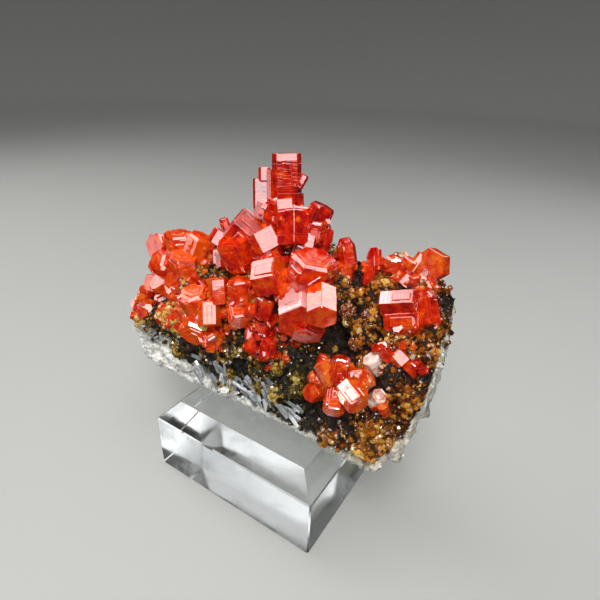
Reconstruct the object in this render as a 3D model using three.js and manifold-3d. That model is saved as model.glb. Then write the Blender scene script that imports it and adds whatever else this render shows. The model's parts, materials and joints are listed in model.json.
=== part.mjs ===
// Vanadinite crystals on their rock matrix, standing on a clear bevelled display block.
// Millimetres, +Z up. The origin is the centre of the block's underside; +X runs along the
// block's length and -Y is its front. The rock stands on its lower edge across the block and
// carries crystals on its front face and its top edge.
import * as THREE from "three";
import { mergeVertices } from "three/addons/utils/BufferGeometryUtils.js";
import Module from "manifold-3d";

const wasm = await Module();
wasm.setup();
const { Manifold, Mesh: SolidMesh } = wasm;

// ---- driving dimensions -------------------------------------------------------------------
const BLOCK = { length: 46, width: 36, height: 20, bevel: 4.6 };
const GAP = 0.3; // clearance between a crystal cluster and the rock or the next cluster
const MERGE_DISTANCE = 1e-5;
const ROCK_COLUMNS = 28; // faceted cross-sections along the rock
const FRONT_ROWS = 10;
const TOP_ROWS = 3;
const BACK_ROWS = 6;
const BOTTOM_ROWS = 3;

// The rock's cross-section at a few places along X:
// [x, foot z, ridge z, front y at the foot, front y at the ridge, back y at the ridge, back y at the foot]
const ROCK_STATIONS = [
  [-46, 24.5, 31, -4.5, -2, 4, 3],
  [-42, 22.6, 42, -6, 1, 8, 7],
  [-34, 21.4, 49, -6.5, 2, 11, 10],
  [-24, 20, 52.5, -6.5, 2.5, 13, 13],
  [-12, 20, 57, -6, 3.5, 14, 14],
  [-2, 20, 58.5, -5.5, 4, 14, 14],
  [8, 20, 58, -5.5, 5, 14, 14],
  [14, 20, 57.5, -6, 6, 14, 14],
  [17, 20, 55, -6, 6.5, 14, 14],
  [24, 20, 58, -6.5, 6.5, 14, 12],
  [31, 20.6, 58.5, -6.5, 6.5, 14, 8],
  [35, 27, 57, -5, 6.5, 14, 10],
  [38, 37, 52, -2, 5, 12, 10],
];
const FRONT_ROLL = 3; // a low power makes the front lean back evenly, a high one makes it roll over on top
const FRONT_FADE = 1.2; // the front's relief is full over this share of its height, and none at its edges
const RIDGE_BOW = 1.6;
const BACK_BULGE = 1.2;
// Broken-stone roughness as two waves: height, turns in radians per millimetre along X and along Z.
const FINE_WAVE = { height: 0.35, alongX: 1.3, alongZ: 0.9 };
const BROAD_WAVE = { height: 0.25, alongX: 0.55, alongZ: 0.7 };
const [FRONT_SEED, RIDGE_SEED, BACK_SEED] = [1, 2, 3];
// Relief of the front face: [x, z, half width, half height, depth], where a negative depth swells out.
const RELIEF = [
  [16, 44, 5, 4.5, 4],
  [12, 33, 3.5, 8, 2.5],
  [22, 39, 5, 5, -2.4],
  [30, 40, 3.5, 3.5, -1],
  [31.5, 48.5, 4, 3, 1.6],
  [10, 50, 6, 4, -1.5],
  [-3, 47, 7, 6, -2.2],
  [-18, 41, 6, 6, -1.6],
  [-9, 33, 5, 5, 1.2],
];

// Brown balls of tiny crystals that sit in the hollow of the front face: [x, y, z, radius].
const BALLS = {
  brown_ball_left: [18, 1.6, 51.2, 1.9],
  brown_ball_right: [23.2, 1, 52, 1.8],
  brown_ball_lower: [22, -1.4, 46.6, 1.7],
};
const BALL_DETAIL = 2;
// The pit in the end of the hollow crystal.
const PIT = { radius: 0.95, depth: 1.6 };

const CRYSTAL_RED = 0xb81d0c;
const CRYSTAL_ORANGE = 0xd8481a;
const BALL_BROWN = 0x6a3a20;

// How the two ends of a crystal are trimmed: how far the end face draws in, and over what height.
const EDGE = { inset: 0.2, height: 0.3 };
const TRIM = { inset: 0.4, height: 0.45 };
const BLUNT = { inset: 0.6, height: 0.75 };
const DOME = { inset: 0.9, height: 1 };
const POINT = { inset: 1, height: 1.7 };
const CAP = { inset: 0.3, height: 1.3 };

// Each crystal is a six-sided prism:
// [centre x, y, z, axis azimuth, axis elevation, turn about the axis, radius, length, end, extra width]
// Angles are in degrees. Extra width moves two of the corners apart, as on a flattened crystal.
const CLUSTERS = {
  crown_cluster: [
    [-0.5, 5.5, 75, 140, 82, 166, 2, 9.8, CAP, 1.1],
    [-6, 4, 71, 128, 66, 174, 1.2, 6.4, EDGE, 0.7],
    [-6, 5, 75, 130, 70, 178, 1.1, 2.8, EDGE, 0.2],
    [-4, 5, 72.5, 130, 76, 16, 1.2, 7.5, EDGE],
    [3.4, 5.2, 75, 50, 62, 8, 0.9, 2.8, EDGE],
    [2.5, 6, 70.5, 138, 78, 56, 0.9, 3.4, EDGE],
    [-4, 3.5, 68, 72, 78, 8, 2.7, 4, BLUNT],
    [-0.5, 5, 68.5, 144, 72, 42, 3.2, 5, BLUNT],
    [-9, 3, 61.5, -152, 40, 22, 4.6, 9, BLUNT],
    [-1.5, 0, 63, -176, 56, 128, 2.8, 4.4, EDGE, 0.7],
    [3.5, 2.5, 66, 128, 62, 26, 4, 7.6, BLUNT],
    [7.5, 5, 68, 42, 66, 32, 2.8, 6, BLUNT],
    [8, 4, 66, -10, 82, 8, 2, 4.6, BLUNT],
    [7.5, 2.5, 63.5, 102, 60, 18, 1.8, 3.8, EDGE],
    [6, 1, 61.5, 20, 68, 32, 1.9, 4.2, TRIM],
    [10, 5, 64, 102, 68, 36, 1.4, 4.4, TRIM],
    [-15, 2, 63, -160, 70, 58, 1.1, 2.6, EDGE],
    [-14.5, 0, 60, 64, 54, 60, 2.2, 3.4, EDGE, 0.6],
    [-16, -0.5, 55.5, 128, 72, 4, 1.4, 3.2, EDGE],
    [-13, -0.5, 55.5, 130, 72, 12, 1.8, 3.2, EDGE, 0.6],
    [-9.5, 0, 58, -128, 68, 48, 4.2, 7.5, DOME],
    [-2, 1, 60, -108, 84, 18, 3.8, 7, DOME],
  ],
  front_barrel_cluster: [
    [2.5, -4, 57, 12, 22, 42, 4.3, 5.6, TRIM],
    [10.5, -4.5, 51.5, 124, 16, 28, 5.3, 6.8, TRIM],
    [16, -6, 55.5, 122, 18, 26, 3.3, 6.8, TRIM],
    [10.5, -1, 59, 2, 78, 2, 4.8, 7, DOME],
    [12, -4, 48.5, -62, -28, 18, 3.8, 5, DOME],
  ],
  left_cluster: [
    [-37, 2.5, 52, -94, 20, 12, 3.4, 7, EDGE],
    [-30, 1.5, 54, -12, 90, 30, 3.6, 7, DOME],
    [-24.5, 2, 54.5, 46, 68, 42, 3.3, 7, DOME],
    [-26.5, 0, 50.5, -56, 72, 16, 3.8, 7.5, DOME],
    [-33.5, 0, 48.5, -108, 34, 50, 3.5, 7.5, DOME],
    [-29.5, -3, 43, -156, 50, 126, 1.7, 2.8, EDGE, 0.4],
    [-34, -1, 43, -104, 44, 48, 3, 6, BLUNT],
    [-28, -2, 46, 50, 56, 14, 1.1, 2.6, EDGE],
    [-30, -1, 45.5, -100, 30, 0, 2.4, 4.4, TRIM],
  ],
  left_side_crystal: [[-39.5, 0.4, 41.3, -92, 18, 18, 2.9, 4.8, TRIM]],
  left_end_cluster: [
    [-44, -1.5, 33, -94, 56, 28, 2.7, 6, TRIM],
    [-41, -2.5, 34, -100, 12, 56, 2.8, 5.6, BLUNT],
  ],
  lower_left_cluster: [
    [-19, -5, 44.5, -104, 74, 10, 3.7, 6.6, DOME],
    [-13, -7, 44, 130, 52, 4, 2.4, 5.6, TRIM, 0.3],
    [-18, -6, 38.5, -70, -12, 40, 3.8, 6.5, DOME],
    [-14, -6, 37.5, -22, -18, 24, 2.7, 5.5, BLUNT],
    [-12.5, -4, 49, 132, 72, 0, 2.1, 6, TRIM, 0.3],
    [-29.5, -4, 37.5, 92, 56, 42, 1.5, 3.6, EDGE, 0.2],
    [-24.5, -5, 39.5, -148, 66, 2, 1.5, 3.4, EDGE],
    [-21, -6, 38.5, -172, 60, 18, 1.4, 3, EDGE],
    [-25.5, -4.6, 38, 0, 8, 0, 1.7, 9, TRIM],
  ],
  centre_left_cluster: [
    [-6, -4, 51, 170, 82, 24, 2.7, 5.4, BLUNT],
    [-5.5, -5, 46, -42, -24, 8, 2.9, 5.4, BLUNT],
    [-2, -5.5, 47.5, -4, 46, 38, 1.7, 4, TRIM],
    [1.5, -5, 49.5, 80, 76, 54, 2.1, 4.6, TRIM],
  ],
  small_middle_cluster: [
    [0.5, -5, 44, 110, 72, 16, 1.8, 3.8, TRIM],
    [-2, -6, 42.5, 102, 66, 24, 1.1, 2.8, EDGE],
    [-0.5, -6, 40, -80, 18, 6, 1.9, 3.8, EDGE],
    [4, -7, 41.5, 60, 80, 22, 2, 4, BLUNT],
    [1, -5.6, 42, 0, 80, 0, 2, 4.5, BLUNT],
  ],
  rear_tablet_cluster: [
    [14, 7, 61, 154, 68, 38, 2.1, 7.2, POINT],
    [14.5, 6, 57.5, 120, 80, 10, 2, 4, BLUNT],
  ],
  bevelled_crystal_cluster: [
    [19, 10, 60, 136, 66, 8, 1.9, 5.4, POINT],
    [19, 9, 57, 100, 70, 0, 2, 4.5, BLUNT],
  ],
  right_top_cluster: [
    [24, 9, 60, 78, 86, 32, 2.2, 4.8, BLUNT],
    [26.5, 9, 60.5, 36, 68, 14, 1.7, 4.6, TRIM],
    [31, 10.5, 62, -104, 16, 48, 3.5, 3, EDGE],
    [27.5, 7, 59, 50, 50, 50, 1.3, 2.4, EDGE, 0.3],
    [31, 8, 58.5, -40, -20, 38, 2.1, 4.4, BLUNT],
    [28, 10, 62, 56, 56, 46, 1.1, 4, EDGE],
  ],
  right_shelf_cluster: [
    [28.5, 2, 56.5, 8, 18, 36, 2.9, 6.8, TRIM],
    [30, 1, 53.5, 10, 18, 4, 2.9, 6.4, BLUNT],
    [34, 3, 55.5, 130, 44, 4, 2.4, 4.8, TRIM],
    [32.5, 4, 58, 16, 52, 12, 1.5, 3.6, TRIM],
  ],
  right_lower_cluster: [
    [29, -1, 47.5, 32, 20, 54, 1.3, 2.4, EDGE],
    [31.5, -2, 47.5, 178, 34, 128, 1.5, 2.8, EDGE, 0.3],
    [33.5, -1, 46, -30, 0, 6, 2, 4.2, TRIM],
    [31, 0, 49.5, 24, 30, 8, 1.6, 3.4, TRIM],
  ],
  pale_flat_crystal: [[27, -3, 44.5, -130, 56, 88, 1.8, 4, TRIM, 0.2]],
  hollow_crystal: [[29.5, -6.5, 39.5, -36, 56, 52, 1.6, 4, EDGE]],
  rosette_cluster: [
    [17, -7.5, 36, -104, 16, 10, 2.1, 5, TRIM],
    [22.5, -10, 38, -66, -24, 58, 2.3, 5.2, TRIM],
    [26, -10, 41, -28, -8, 34, 2.5, 5.2, TRIM],
    [19.5, -8, 42, -174, 58, 8, 2, 5.2, TRIM],
    [22, -8, 44, 106, 74, 8, 1.9, 5.2, TRIM],
    [26.5, -8, 43, 28, 40, 58, 1.9, 5, TRIM],
    [17.5, -7, 43.5, 80, 64, 32, 1.2, 2.8, EDGE],
    [17, -8, 39.5, -154, 30, 6, 1.2, 3.6, TRIM],
    [25.5, -8, 44.5, 30, 8, 54, 1.1, 2.4, EDGE],
  ],
};

// ---- solids and geometry ------------------------------------------------------------------
function toSolid(geometry) {
  const bare = geometry.clone();
  bare.deleteAttribute("normal");
  bare.deleteAttribute("uv");
  const merged = mergeVertices(bare, MERGE_DISTANCE);
  const vertProperties = new Float32Array(merged.attributes.position.array);
  const triVerts = new Uint32Array(merged.index.array);
  return new Manifold(new SolidMesh({ numProp: 3, vertProperties, triVerts }));
}

function toGeometry(solid) {
  const { vertProperties, triVerts, numProp } = solid.getMesh();
  const geometry = new THREE.BufferGeometry();
  const points = new Float32Array((vertProperties.length / numProp) * 3);
  for (let i = 0; i < points.length / 3; i += 1) {
    for (let axis = 0; axis < 3; axis += 1) points[i * 3 + axis] = vertProperties[i * numProp + axis];
  }
  geometry.setAttribute("position", new THREE.BufferAttribute(points, 3));
  geometry.setIndex([...triVerts]);
  return geometry;
}

// A closed skin over rings of points that all have the same count, with a fan at each end.
function skin(rings) {
  const count = rings[0].length;
  const points = rings.flat();
  const faces = [];
  for (let r = 0; r + 1 < rings.length; r += 1) {
    for (let i = 0; i < count; i += 1) {
      const j = (i + 1) % count;
      const [a, b, c, d] = [r * count + i, r * count + j, (r + 1) * count + j, (r + 1) * count + i];
      faces.push(a, b, c, a, c, d);
    }
  }
  const lid = (ring, flip) => {
    const middle = points.length;
    const sum = ring.reduce((total, p) => total.add(p), new THREE.Vector3());
    points.push(sum.divideScalar(count));
    const first = rings.indexOf(ring) * count;
    for (let i = 0; i < count; i += 1) {
      const j = (i + 1) % count;
      faces.push(middle, first + (flip ? j : i), first + (flip ? i : j));
    }
  };
  lid(rings[0], true);
  lid(rings[rings.length - 1], false);
  const geometry = new THREE.BufferGeometry().setFromPoints(points);
  geometry.setIndex(faces);
  return geometry;
}

// ---- the display block --------------------------------------------------------------------
function displayBlock() {
  const { length, width, height, bevel } = BLOCK;
  const outline = (inset, z) => {
    const [x, y] = [length / 2 - inset, width / 2 - inset];
    return [[-x, -y], [x, -y], [x, y], [-x, y]].map(([px, py]) => new THREE.Vector3(px, py, z));
  };
  return skin([outline(0, 0), outline(0, height - bevel), outline(bevel, height)]);
}

// ---- the rock -----------------------------------------------------------------------------
// The station values at one x, joined by smooth steps from station to station.
function rockStation(x) {
  let i = 0;
  while (i + 2 < ROCK_STATIONS.length && x > ROCK_STATIONS[i + 1][0]) i += 1;
  const [from, to] = [ROCK_STATIONS[i], ROCK_STATIONS[i + 1]];
  const t = Math.min(Math.max((x - from[0]) / (to[0] - from[0]), 0), 1);
  const eased = t * t * (3 - 2 * t);
  return from.map((value, k) => value + (to[k] - value) * (k === 0 ? t : eased));
}

// A small repeatable roughness, zero on average, for the rock's broken faces.
function roughness(x, z, seed) {
  const fine = Math.sin(x * FINE_WAVE.alongX + seed) * Math.sin(z * FINE_WAVE.alongZ + seed * 2);
  const broad = Math.sin(x * BROAD_WAVE.alongX + z * BROAD_WAVE.alongZ + seed);
  return FINE_WAVE.height * fine + BROAD_WAVE.height * broad;
}

function reliefDepth(x, z) {
  return RELIEF.reduce((depth, [hx, hz, wide, tall, deep]) => {
    const reach = ((x - hx) / wide) ** 2 + ((z - hz) / tall) ** 2;
    return depth + deep * Math.exp(-reach);
  }, 0);
}

// One closed outline in the YZ plane, made up the front, over the ridge, down the back and along the
// foot, and given in the opposite order, which turns the skin's faces outwards. grow pushes it out.
function rockSection(x, grow) {
  const [, foot, ridge, frontFoot, frontRidge, backRidge, backFoot] = rockStation(x);
  const points = [];
  const push = (y, z) => points.push(new THREE.Vector3(x, y, z));
  const rise = ridge - foot;
  for (let i = 0; i < FRONT_ROWS; i += 1) {
    const s = i / (FRONT_ROWS - 1);
    const z = foot + rise * s;
    const fade = Math.sin(Math.PI * Math.min(s * FRONT_FADE, 1));
    const y = frontFoot + (frontRidge - frontFoot) * s ** FRONT_ROLL;
    push(y + (reliefDepth(x, z) + roughness(x, z, FRONT_SEED)) * fade - grow, z - (i === 0 ? grow : 0));
  }
  for (let i = 1; i <= TOP_ROWS; i += 1) {
    const s = i / (TOP_ROWS + 1);
    const bow = RIDGE_BOW * Math.sin(Math.PI * s);
    const y = frontRidge + (backRidge - frontRidge) * s;
    push(y, ridge + bow + roughness(x, y, RIDGE_SEED) + grow);
  }
  for (let i = 0; i < BACK_ROWS; i += 1) {
    const s = i / (BACK_ROWS - 1);
    const fade = Math.sin(Math.PI * s);
    const y = backRidge + (backFoot - backRidge) * s;
    const swell = (BACK_BULGE + roughness(x, rise * s, BACK_SEED)) * fade;
    push(y + swell + grow, ridge - rise * s - (i === BACK_ROWS - 1 ? grow : 0));
  }
  for (let i = 1; i <= BOTTOM_ROWS; i += 1) {
    const s = i / (BOTTOM_ROWS + 1);
    push(backFoot + (frontFoot - backFoot) * s, foot - grow);
  }
  return points.reverse();
}

function rock(grow = 0) {
  const first = ROCK_STATIONS[0][0];
  const last = ROCK_STATIONS[ROCK_STATIONS.length - 1][0];
  const sections = [];
  for (let i = 0; i <= ROCK_COLUMNS; i += 1) {
    sections.push(rockSection(first + ((last - first) * i) / ROCK_COLUMNS, grow));
  }
  return skin(sections);
}

// ---- the crystals -------------------------------------------------------------------------
const degrees = THREE.MathUtils.degToRad;

function crystalAxis(azimuth, elevation) {
  const [az, el] = [degrees(azimuth), degrees(elevation)];
  return new THREE.Vector3(Math.cos(el) * Math.cos(az), Math.cos(el) * Math.sin(az), Math.sin(el));
}

// A six-sided prism along its axis with both ends trimmed. grow makes it larger all round.
function crystalSolid([x, y, z, azimuth, elevation, turn, radius, length, end, widen = 0], grow = 0) {
  const axis = crystalAxis(azimuth, elevation);
  const across = new THREE.Vector3(-Math.sin(degrees(azimuth)), Math.cos(degrees(azimuth)), 0);
  const over = new THREE.Vector3().crossVectors(axis, across);
  const centre = new THREE.Vector3(x, y, z);
  const ring = (size, along) =>
    Array.from({ length: 6 }, (_, i) => {
      const angle = (Math.PI / 3) * i;
      const u = size * Math.cos(angle) + widen * (Math.cos(angle) > 0 ? 1 : -1);
      const v = size * Math.sin(angle);
      const spin = degrees(turn);
      return centre
        .clone()
        .addScaledVector(axis, along)
        .addScaledVector(across, u * Math.cos(spin) - v * Math.sin(spin))
        .addScaledVector(over, u * Math.sin(spin) + v * Math.cos(spin));
    });
  const half = length / 2 + grow;
  const full = radius + grow;
  return toSolid(
    skin([
      ring(full - end.inset, -half),
      ring(full, end.height - half),
      ring(full, half - end.height),
      ring(full - end.inset, half),
    ]),
  );
}

function joined(rows, grow) {
  return rows.map((row) => crystalSolid(row, grow)).reduce((all, one) => all.add(one));
}

// The six-sided pit sunk into a crystal's outer end, standing proud of that end so that it cuts through.
function pitIn([x, y, z, azimuth, elevation, turn, , length]) {
  const reach = length / 2;
  const middle = new THREE.Vector3(x, y, z).addScaledVector(crystalAxis(azimuth, elevation), reach);
  return crystalSolid([...middle.toArray(), azimuth, elevation, turn, PIT.radius, PIT.depth * 2, EDGE]);
}

function ball([x, y, z, radius]) {
  return new THREE.IcosahedronGeometry(radius, BALL_DETAIL).translate(x, y, z);
}

// ---- the assembly -------------------------------------------------------------------------
const part = new THREE.Group();
function addPart(name, geometry, material) {
  geometry.computeVertexNormals();
  const mesh = new THREE.Mesh(geometry, material);
  mesh.name = name;
  part.add(mesh);
}

const clear = new THREE.MeshStandardMaterial({ color: 0xe9f1f3, roughness: 0.05, metalness: 0 });
const stone = new THREE.MeshStandardMaterial({ color: 0x4a3a28, roughness: 0.9, metalness: 0 });
const crystal = (color) => new THREE.MeshStandardMaterial({ color, roughness: 0.15, metalness: 0 });

addPart("display_block", displayBlock(), clear);
addPart("matrix", rock(), stone);

const rockClearance = toSolid(rock(GAP));
const earlier = [];
for (const [name, rows] of Object.entries(CLUSTERS)) {
  let solid = joined(rows, 0).subtract(rockClearance);
  for (const other of earlier) solid = solid.subtract(other);
  earlier.push(joined(rows, GAP));
  // A crumb that the cuts leave loose is dropped: the cluster is its largest piece.
  const [cluster] = solid.decompose().sort((a, b) => b.volume() - a.volume());
  const finished = name === "hollow_crystal" ? cluster.subtract(pitIn(rows[0])) : cluster;
  const orange = name.includes("rosette") || name.includes("right");
  addPart(name, toGeometry(finished), crystal(orange ? CRYSTAL_ORANGE : CRYSTAL_RED));
}

const druse = new THREE.MeshStandardMaterial({ color: BALL_BROWN, roughness: 0.6, metalness: 0 });
for (const [name, place] of Object.entries(BALLS)) {
  const solid = earlier.reduce((rest, other) => rest.subtract(other), toSolid(ball(place)));
  const [whole] = solid.subtract(rockClearance).decompose().sort((a, b) => b.volume() - a.volume());
  addPart(name, toGeometry(whole), druse);
}

export default part;
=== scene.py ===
# %% [markdown]
# # Vanadinite on matrix, standing on a clear block
#
# Vanadinite is a heavy red mineral. It grows as stout six-sided prisms, so nearly everything here
# is made of one shape: a hexagon carried along an axis. This lesson builds that shape once with
# numpy, in rings, and then repeats it at every size, from the column at the top to the dust of
# tiny crystals on the rock. The rock is a skin carried along the specimen's length, and the block
# is a rectangle carried upwards.
#
# Everything is in metres in Blender. Mineral sizes are easier to read in millimetres, so the
# tables below are in millimetres and one constant turns them.

# %% Load the frame
import json
import math
from functools import partial
import bpy
import numpy as np
from mathutils import Matrix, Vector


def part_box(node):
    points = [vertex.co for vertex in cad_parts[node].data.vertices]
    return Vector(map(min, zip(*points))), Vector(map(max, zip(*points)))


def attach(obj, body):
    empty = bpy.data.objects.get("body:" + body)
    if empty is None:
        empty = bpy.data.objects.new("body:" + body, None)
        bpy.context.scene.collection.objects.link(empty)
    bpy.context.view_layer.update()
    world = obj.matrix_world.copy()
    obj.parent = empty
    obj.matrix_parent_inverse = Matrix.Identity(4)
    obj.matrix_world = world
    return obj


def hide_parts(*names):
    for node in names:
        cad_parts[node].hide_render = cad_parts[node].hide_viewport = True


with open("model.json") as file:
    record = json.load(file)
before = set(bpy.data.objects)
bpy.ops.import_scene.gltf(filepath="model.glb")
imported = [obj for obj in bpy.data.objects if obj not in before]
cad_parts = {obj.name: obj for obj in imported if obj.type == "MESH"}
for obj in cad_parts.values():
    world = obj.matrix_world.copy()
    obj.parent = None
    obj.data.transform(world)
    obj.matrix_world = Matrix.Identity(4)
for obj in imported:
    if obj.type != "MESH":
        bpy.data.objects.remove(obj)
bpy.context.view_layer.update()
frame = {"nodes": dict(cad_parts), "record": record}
MM = 0.001
print("nodes:", sorted(frame["nodes"]))

# %% [markdown]
# ## The camera
#
# A small specimen is looked at from close by, which gives strong perspective: the left end is
# seen along the rock, and the crystals at the front from above. The camera is given as a place,
# the direction it looks back along, and a small roll, because it was held by hand. Its three
# axes are worked out by cross products.

# %% Place the camera
EYE = np.array([54.0, -73.7, 98.0]) * MM
AZIMUTH, ELEVATION, ROLL = np.radians([32.4, 28.2, 2.0])
LENS = 27.7  # on a sensor 36 wide, the millimetres that a phone's main lens is quoted in


def camera_axes(azimuth, elevation, roll):
    """Right, up and back. Back points from the scene to the camera at that azimuth and elevation,
    right is level, up is square to both, and the roll turns right and up about back."""
    level = math.cos(elevation)
    back = np.array([math.sin(azimuth) * level, -math.cos(azimuth) * level, math.sin(elevation)])
    right = np.array([math.cos(azimuth), math.sin(azimuth), 0.0])
    up = np.cross(back, right)
    turn, lean = math.cos(roll), math.sin(roll)
    return turn * right + lean * up, turn * up - lean * right, back


camera = bpy.data.objects.new("camera", bpy.data.cameras.new("camera"))
camera.data.lens = LENS
camera.data.clip_start = 5 * MM
turned = np.eye(4)
turned[:3, :3] = np.array(camera_axes(AZIMUTH, ELEVATION, ROLL)).T
turned[:3, 3] = EYE
camera.matrix_world = Matrix(turned.tolist())
bpy.context.scene.collection.objects.link(camera)
bpy.context.scene.camera = camera
print("camera at", np.round(EYE, 4), "m")

# %% [markdown]
# ## Colours and nodes
#
# A colour picked from a chart is an sRGB hex value, but shaders add up light, so they need linear
# values. One function turns one into the other. A second small function adds any node with its
# settings and its links, which keeps each material short enough to read as a recipe.
#
# Noise is scaled by how often it repeats in a metre. The recipes give the size of each pattern in
# millimetres instead, as it would be measured on the stone, and one line turns it over.

# %% Colour and node helpers
def colour(hex_value):
    """sRGB hex to linear RGBA: below 0.04045 it divides by 12.92, above it is the 2.4 power curve."""
    srgb = np.array([int(hex_value[i:i + 2], 16) for i in (1, 3, 5)]) / 255
    linear = np.where(srgb <= 0.04045, srgb / 12.92, ((srgb + 0.055) / 1.055) ** 2.4)
    return (*linear.tolist(), 1.0)


def add_node(material, kind, settings=None, **inputs):
    """Adds a node. settings are its own properties and, for a ramp, its stops as pairs of position
    and hex colour. inputs are socket values by name, with _ for a space, or by number after a _.
    An output or a node given there becomes a link; a node stands for its first output in use."""
    node = material.node_tree.nodes.new("ShaderNode" + kind)
    properties = dict(settings or {})
    stops = properties.pop("stops", [])
    for key, value in properties.items():
        setattr(node, key, value)
    for _ in stops[2:]:
        node.color_ramp.elements.new(0.5)
    for i, (position, hex_value) in enumerate(stops):
        node.color_ramp.elements[i].position = position
        node.color_ramp.elements[i].color = colour(hex_value)
    for key, value in inputs.items():
        name = key.replace("_", " ").strip()
        socket = node.inputs[int(name) if name.isdigit() else name]
        if isinstance(value, bpy.types.Node):
            value = next(output for output in value.outputs if output.enabled)
        if isinstance(value, bpy.types.NodeSocket):
            material.node_tree.links.new(value, socket)
        else:
            socket.default_value = value
    return node


def per_metre(size):
    """How often a pattern of that size in millimetres repeats in a metre."""
    return 1 / (size * MM)


def new_material(name):
    """An empty node material, and add_node already tied to it."""
    material = bpy.data.materials.new(name)
    material.use_nodes = True
    material.node_tree.nodes.clear()
    return material, partial(add_node, material)


MIX_COLOURS = {"data_type": "RGBA"}
MULTIPLY_ADD = {"operation": "MULTIPLY_ADD"}
print("linear value of middle grey:", round(colour("#808080")[0], 3))

# %% [markdown]
# ## Vanadinite
#
# Vanadinite is lead chlorovanadate. Its faces are smooth as glass, and it bends light almost as
# much as diamond does, with an index near 2.4, so a face that mirrors the lamp turns pinkish
# white while the one beside it stays deep red. Inside it is clear to milky: thin edges pass light
# and look orange, thick middles swallow all but red.
#
# A fully clear shader would let the eye through to the rock and lose the glow, and a painted
# one would have no depth. So the Principled shader is set part way: part of the light goes
# through, coloured by absorption in the volume, and part comes back from just inside as body
# colour. Patches of noise vary the colour as milky and clear zones do.
#
# Other patterns follow each crystal, in millimetres along its own axes: flat layers across the
# axis raise the fine growth lines on its sides, and shallow dents roughen its ends. The edges are
# painted lighter, a painted glow for the light that leaves through them, and the upper faces of a
# few crystals are painted pinkish white, a painted reflection of a bright lamp.

# %% The vanadinite recipe
MILKY_ZONE = 1.923  # mm, the size of milky and clear zones inside a crystal
GROWTH_LAYER = 0.4545  # mm from one growth line to the next
LAYER_WIDTH = 8.33  # mm that a growth line runs before it fades
DENT = 0.769  # mm, the hollows on the ends
LINE_HEIGHT = 0.06  # mm, drawn higher than real lines, which are too fine to show
LID_LIGHTER, LID_DULLER = 0.06, 0.07  # what an end adds to the tone and to the roughness
EDGE_LIGHTER = 0.3  # how far an edge goes towards the light that leaves through it
ABSORPTION = 420.0  # per metre, so two or three millimetres of crystal already deepen the colour


def vanadinite(name, stops, absorbs, clear):
    """stops: body colours from deep to bright; absorbs: the colour that thick crystal lets
    through; clear: the share of light that passes."""
    material, add = new_material(name)
    local = add("Attribute", {"attribute_name": "local"}).outputs["Vector"]
    tone, lid, edge, skin = (add("Attribute", {"attribute_name": key}).outputs["Fac"]
                             for key in ("tone", "lid", "edge", "skin"))
    place = add("TexCoord").outputs["Object"]
    milk = add("TexNoise", Vector=place, Scale=per_metre(MILKY_ZONE), Detail=5.0, Roughness=0.65)
    milky = add("MapRange", Value=milk, From_Min=0.32, From_Max=0.68, To_Min=-0.45, To_Max=0.45)
    lighter = add("Math", MULTIPLY_ADD, _0=lid, _1=LID_LIGHTER, _2=tone)
    zones = add("ValToRGB", {"stops": stops}, Fac=add("Math", _0=lighter, _1=milky))
    # Painted glow: the hairline edges are painted towards a light orange, for the light that leaves
    # through them.
    painted_edge_glow = add("MapRange", Value=edge, To_Max=EDGE_LIGHTER)
    bare = add("Mix", MIX_COLOURS, _0=painted_edge_glow, _6=zones, _7=colour("#ff6a3a"))
    # Painted reflection: where the attribute skin is 1, the colour is painted pinkish white, as a
    # mirrored lamp.
    body = add("Mix", MIX_COLOURS, _0=skin, _6=bare, _7=colour("#f9c9c4"))
    layers = add("Mapping", Vector=local, Scale=(1 / LAYER_WIDTH, 1 / LAYER_WIDTH, 1 / GROWTH_LAYER))
    waves = add("TexNoise", Vector=layers, Scale=1.0, Detail=2.0)
    lines = add("MapRange", Value=waves, From_Min=0.47, From_Max=0.5)
    dents = add("TexNoise", Vector=local, Scale=1 / DENT, Detail=3.0)
    height = add("Mix", {"data_type": "FLOAT"}, _0=lid, _2=lines, _3=dents)
    relief = add("MapRange", Value=lid, To_Min=0.06, To_Max=0.5)
    bump = add("Bump", Strength=relief, Distance=LINE_HEIGHT * MM, Height=height)
    gloss = add("MapRange", Value=dents, From_Min=0.4, From_Max=0.7, To_Max=0.07)
    dull = add("Math", MULTIPLY_ADD, _0=lid, _1=LID_DULLER, _2=gloss)
    shader = add("BsdfPrincipled", Base_Color=body, IOR=2.35, Roughness=dull,
                 Transmission_Weight=clear, Normal=bump)
    depth = add("VolumeAbsorption", Color=colour(absorbs), Density=ABSORPTION)
    add("OutputMaterial", Surface=shader, Volume=depth)
    return material


# Natural faces, mirror smooth: a hard pinkish mirror image beside a deep red.
RED = vanadinite(
    "red vanadinite, natural faces",
    [(0.0, "#7a0300"), (0.3, "#bb0b01"), (0.6, "#e32603"), (1.0, "#fb5c0c")],
    "#ff6a30", 0.25)
# The same faces on thinner crystals, through which more light comes back: a lighter, hotter red.
ORANGE = vanadinite(
    "orange-red vanadinite, natural faces",
    [(0.0, "#a00b01"), (0.3, "#d22303"), (0.6, "#ec4307"), (1.0, "#fd7d1c")],
    "#ff8a48", 0.3)
# Crystals full of fine cracks, which scatter the light before it is coloured: frosty pink white.
PALE = vanadinite(
    "pale frosted vanadinite",
    [(0.0, "#b5321a"), (0.3, "#dd8f74"), (0.55, "#f3d3c4"), (1.0, "#fff4ee")],
    "#ffd8c8", 0.1)
print("vanadinite materials:", RED.name, "|", ORANGE.name, "|", PALE.name)

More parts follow.
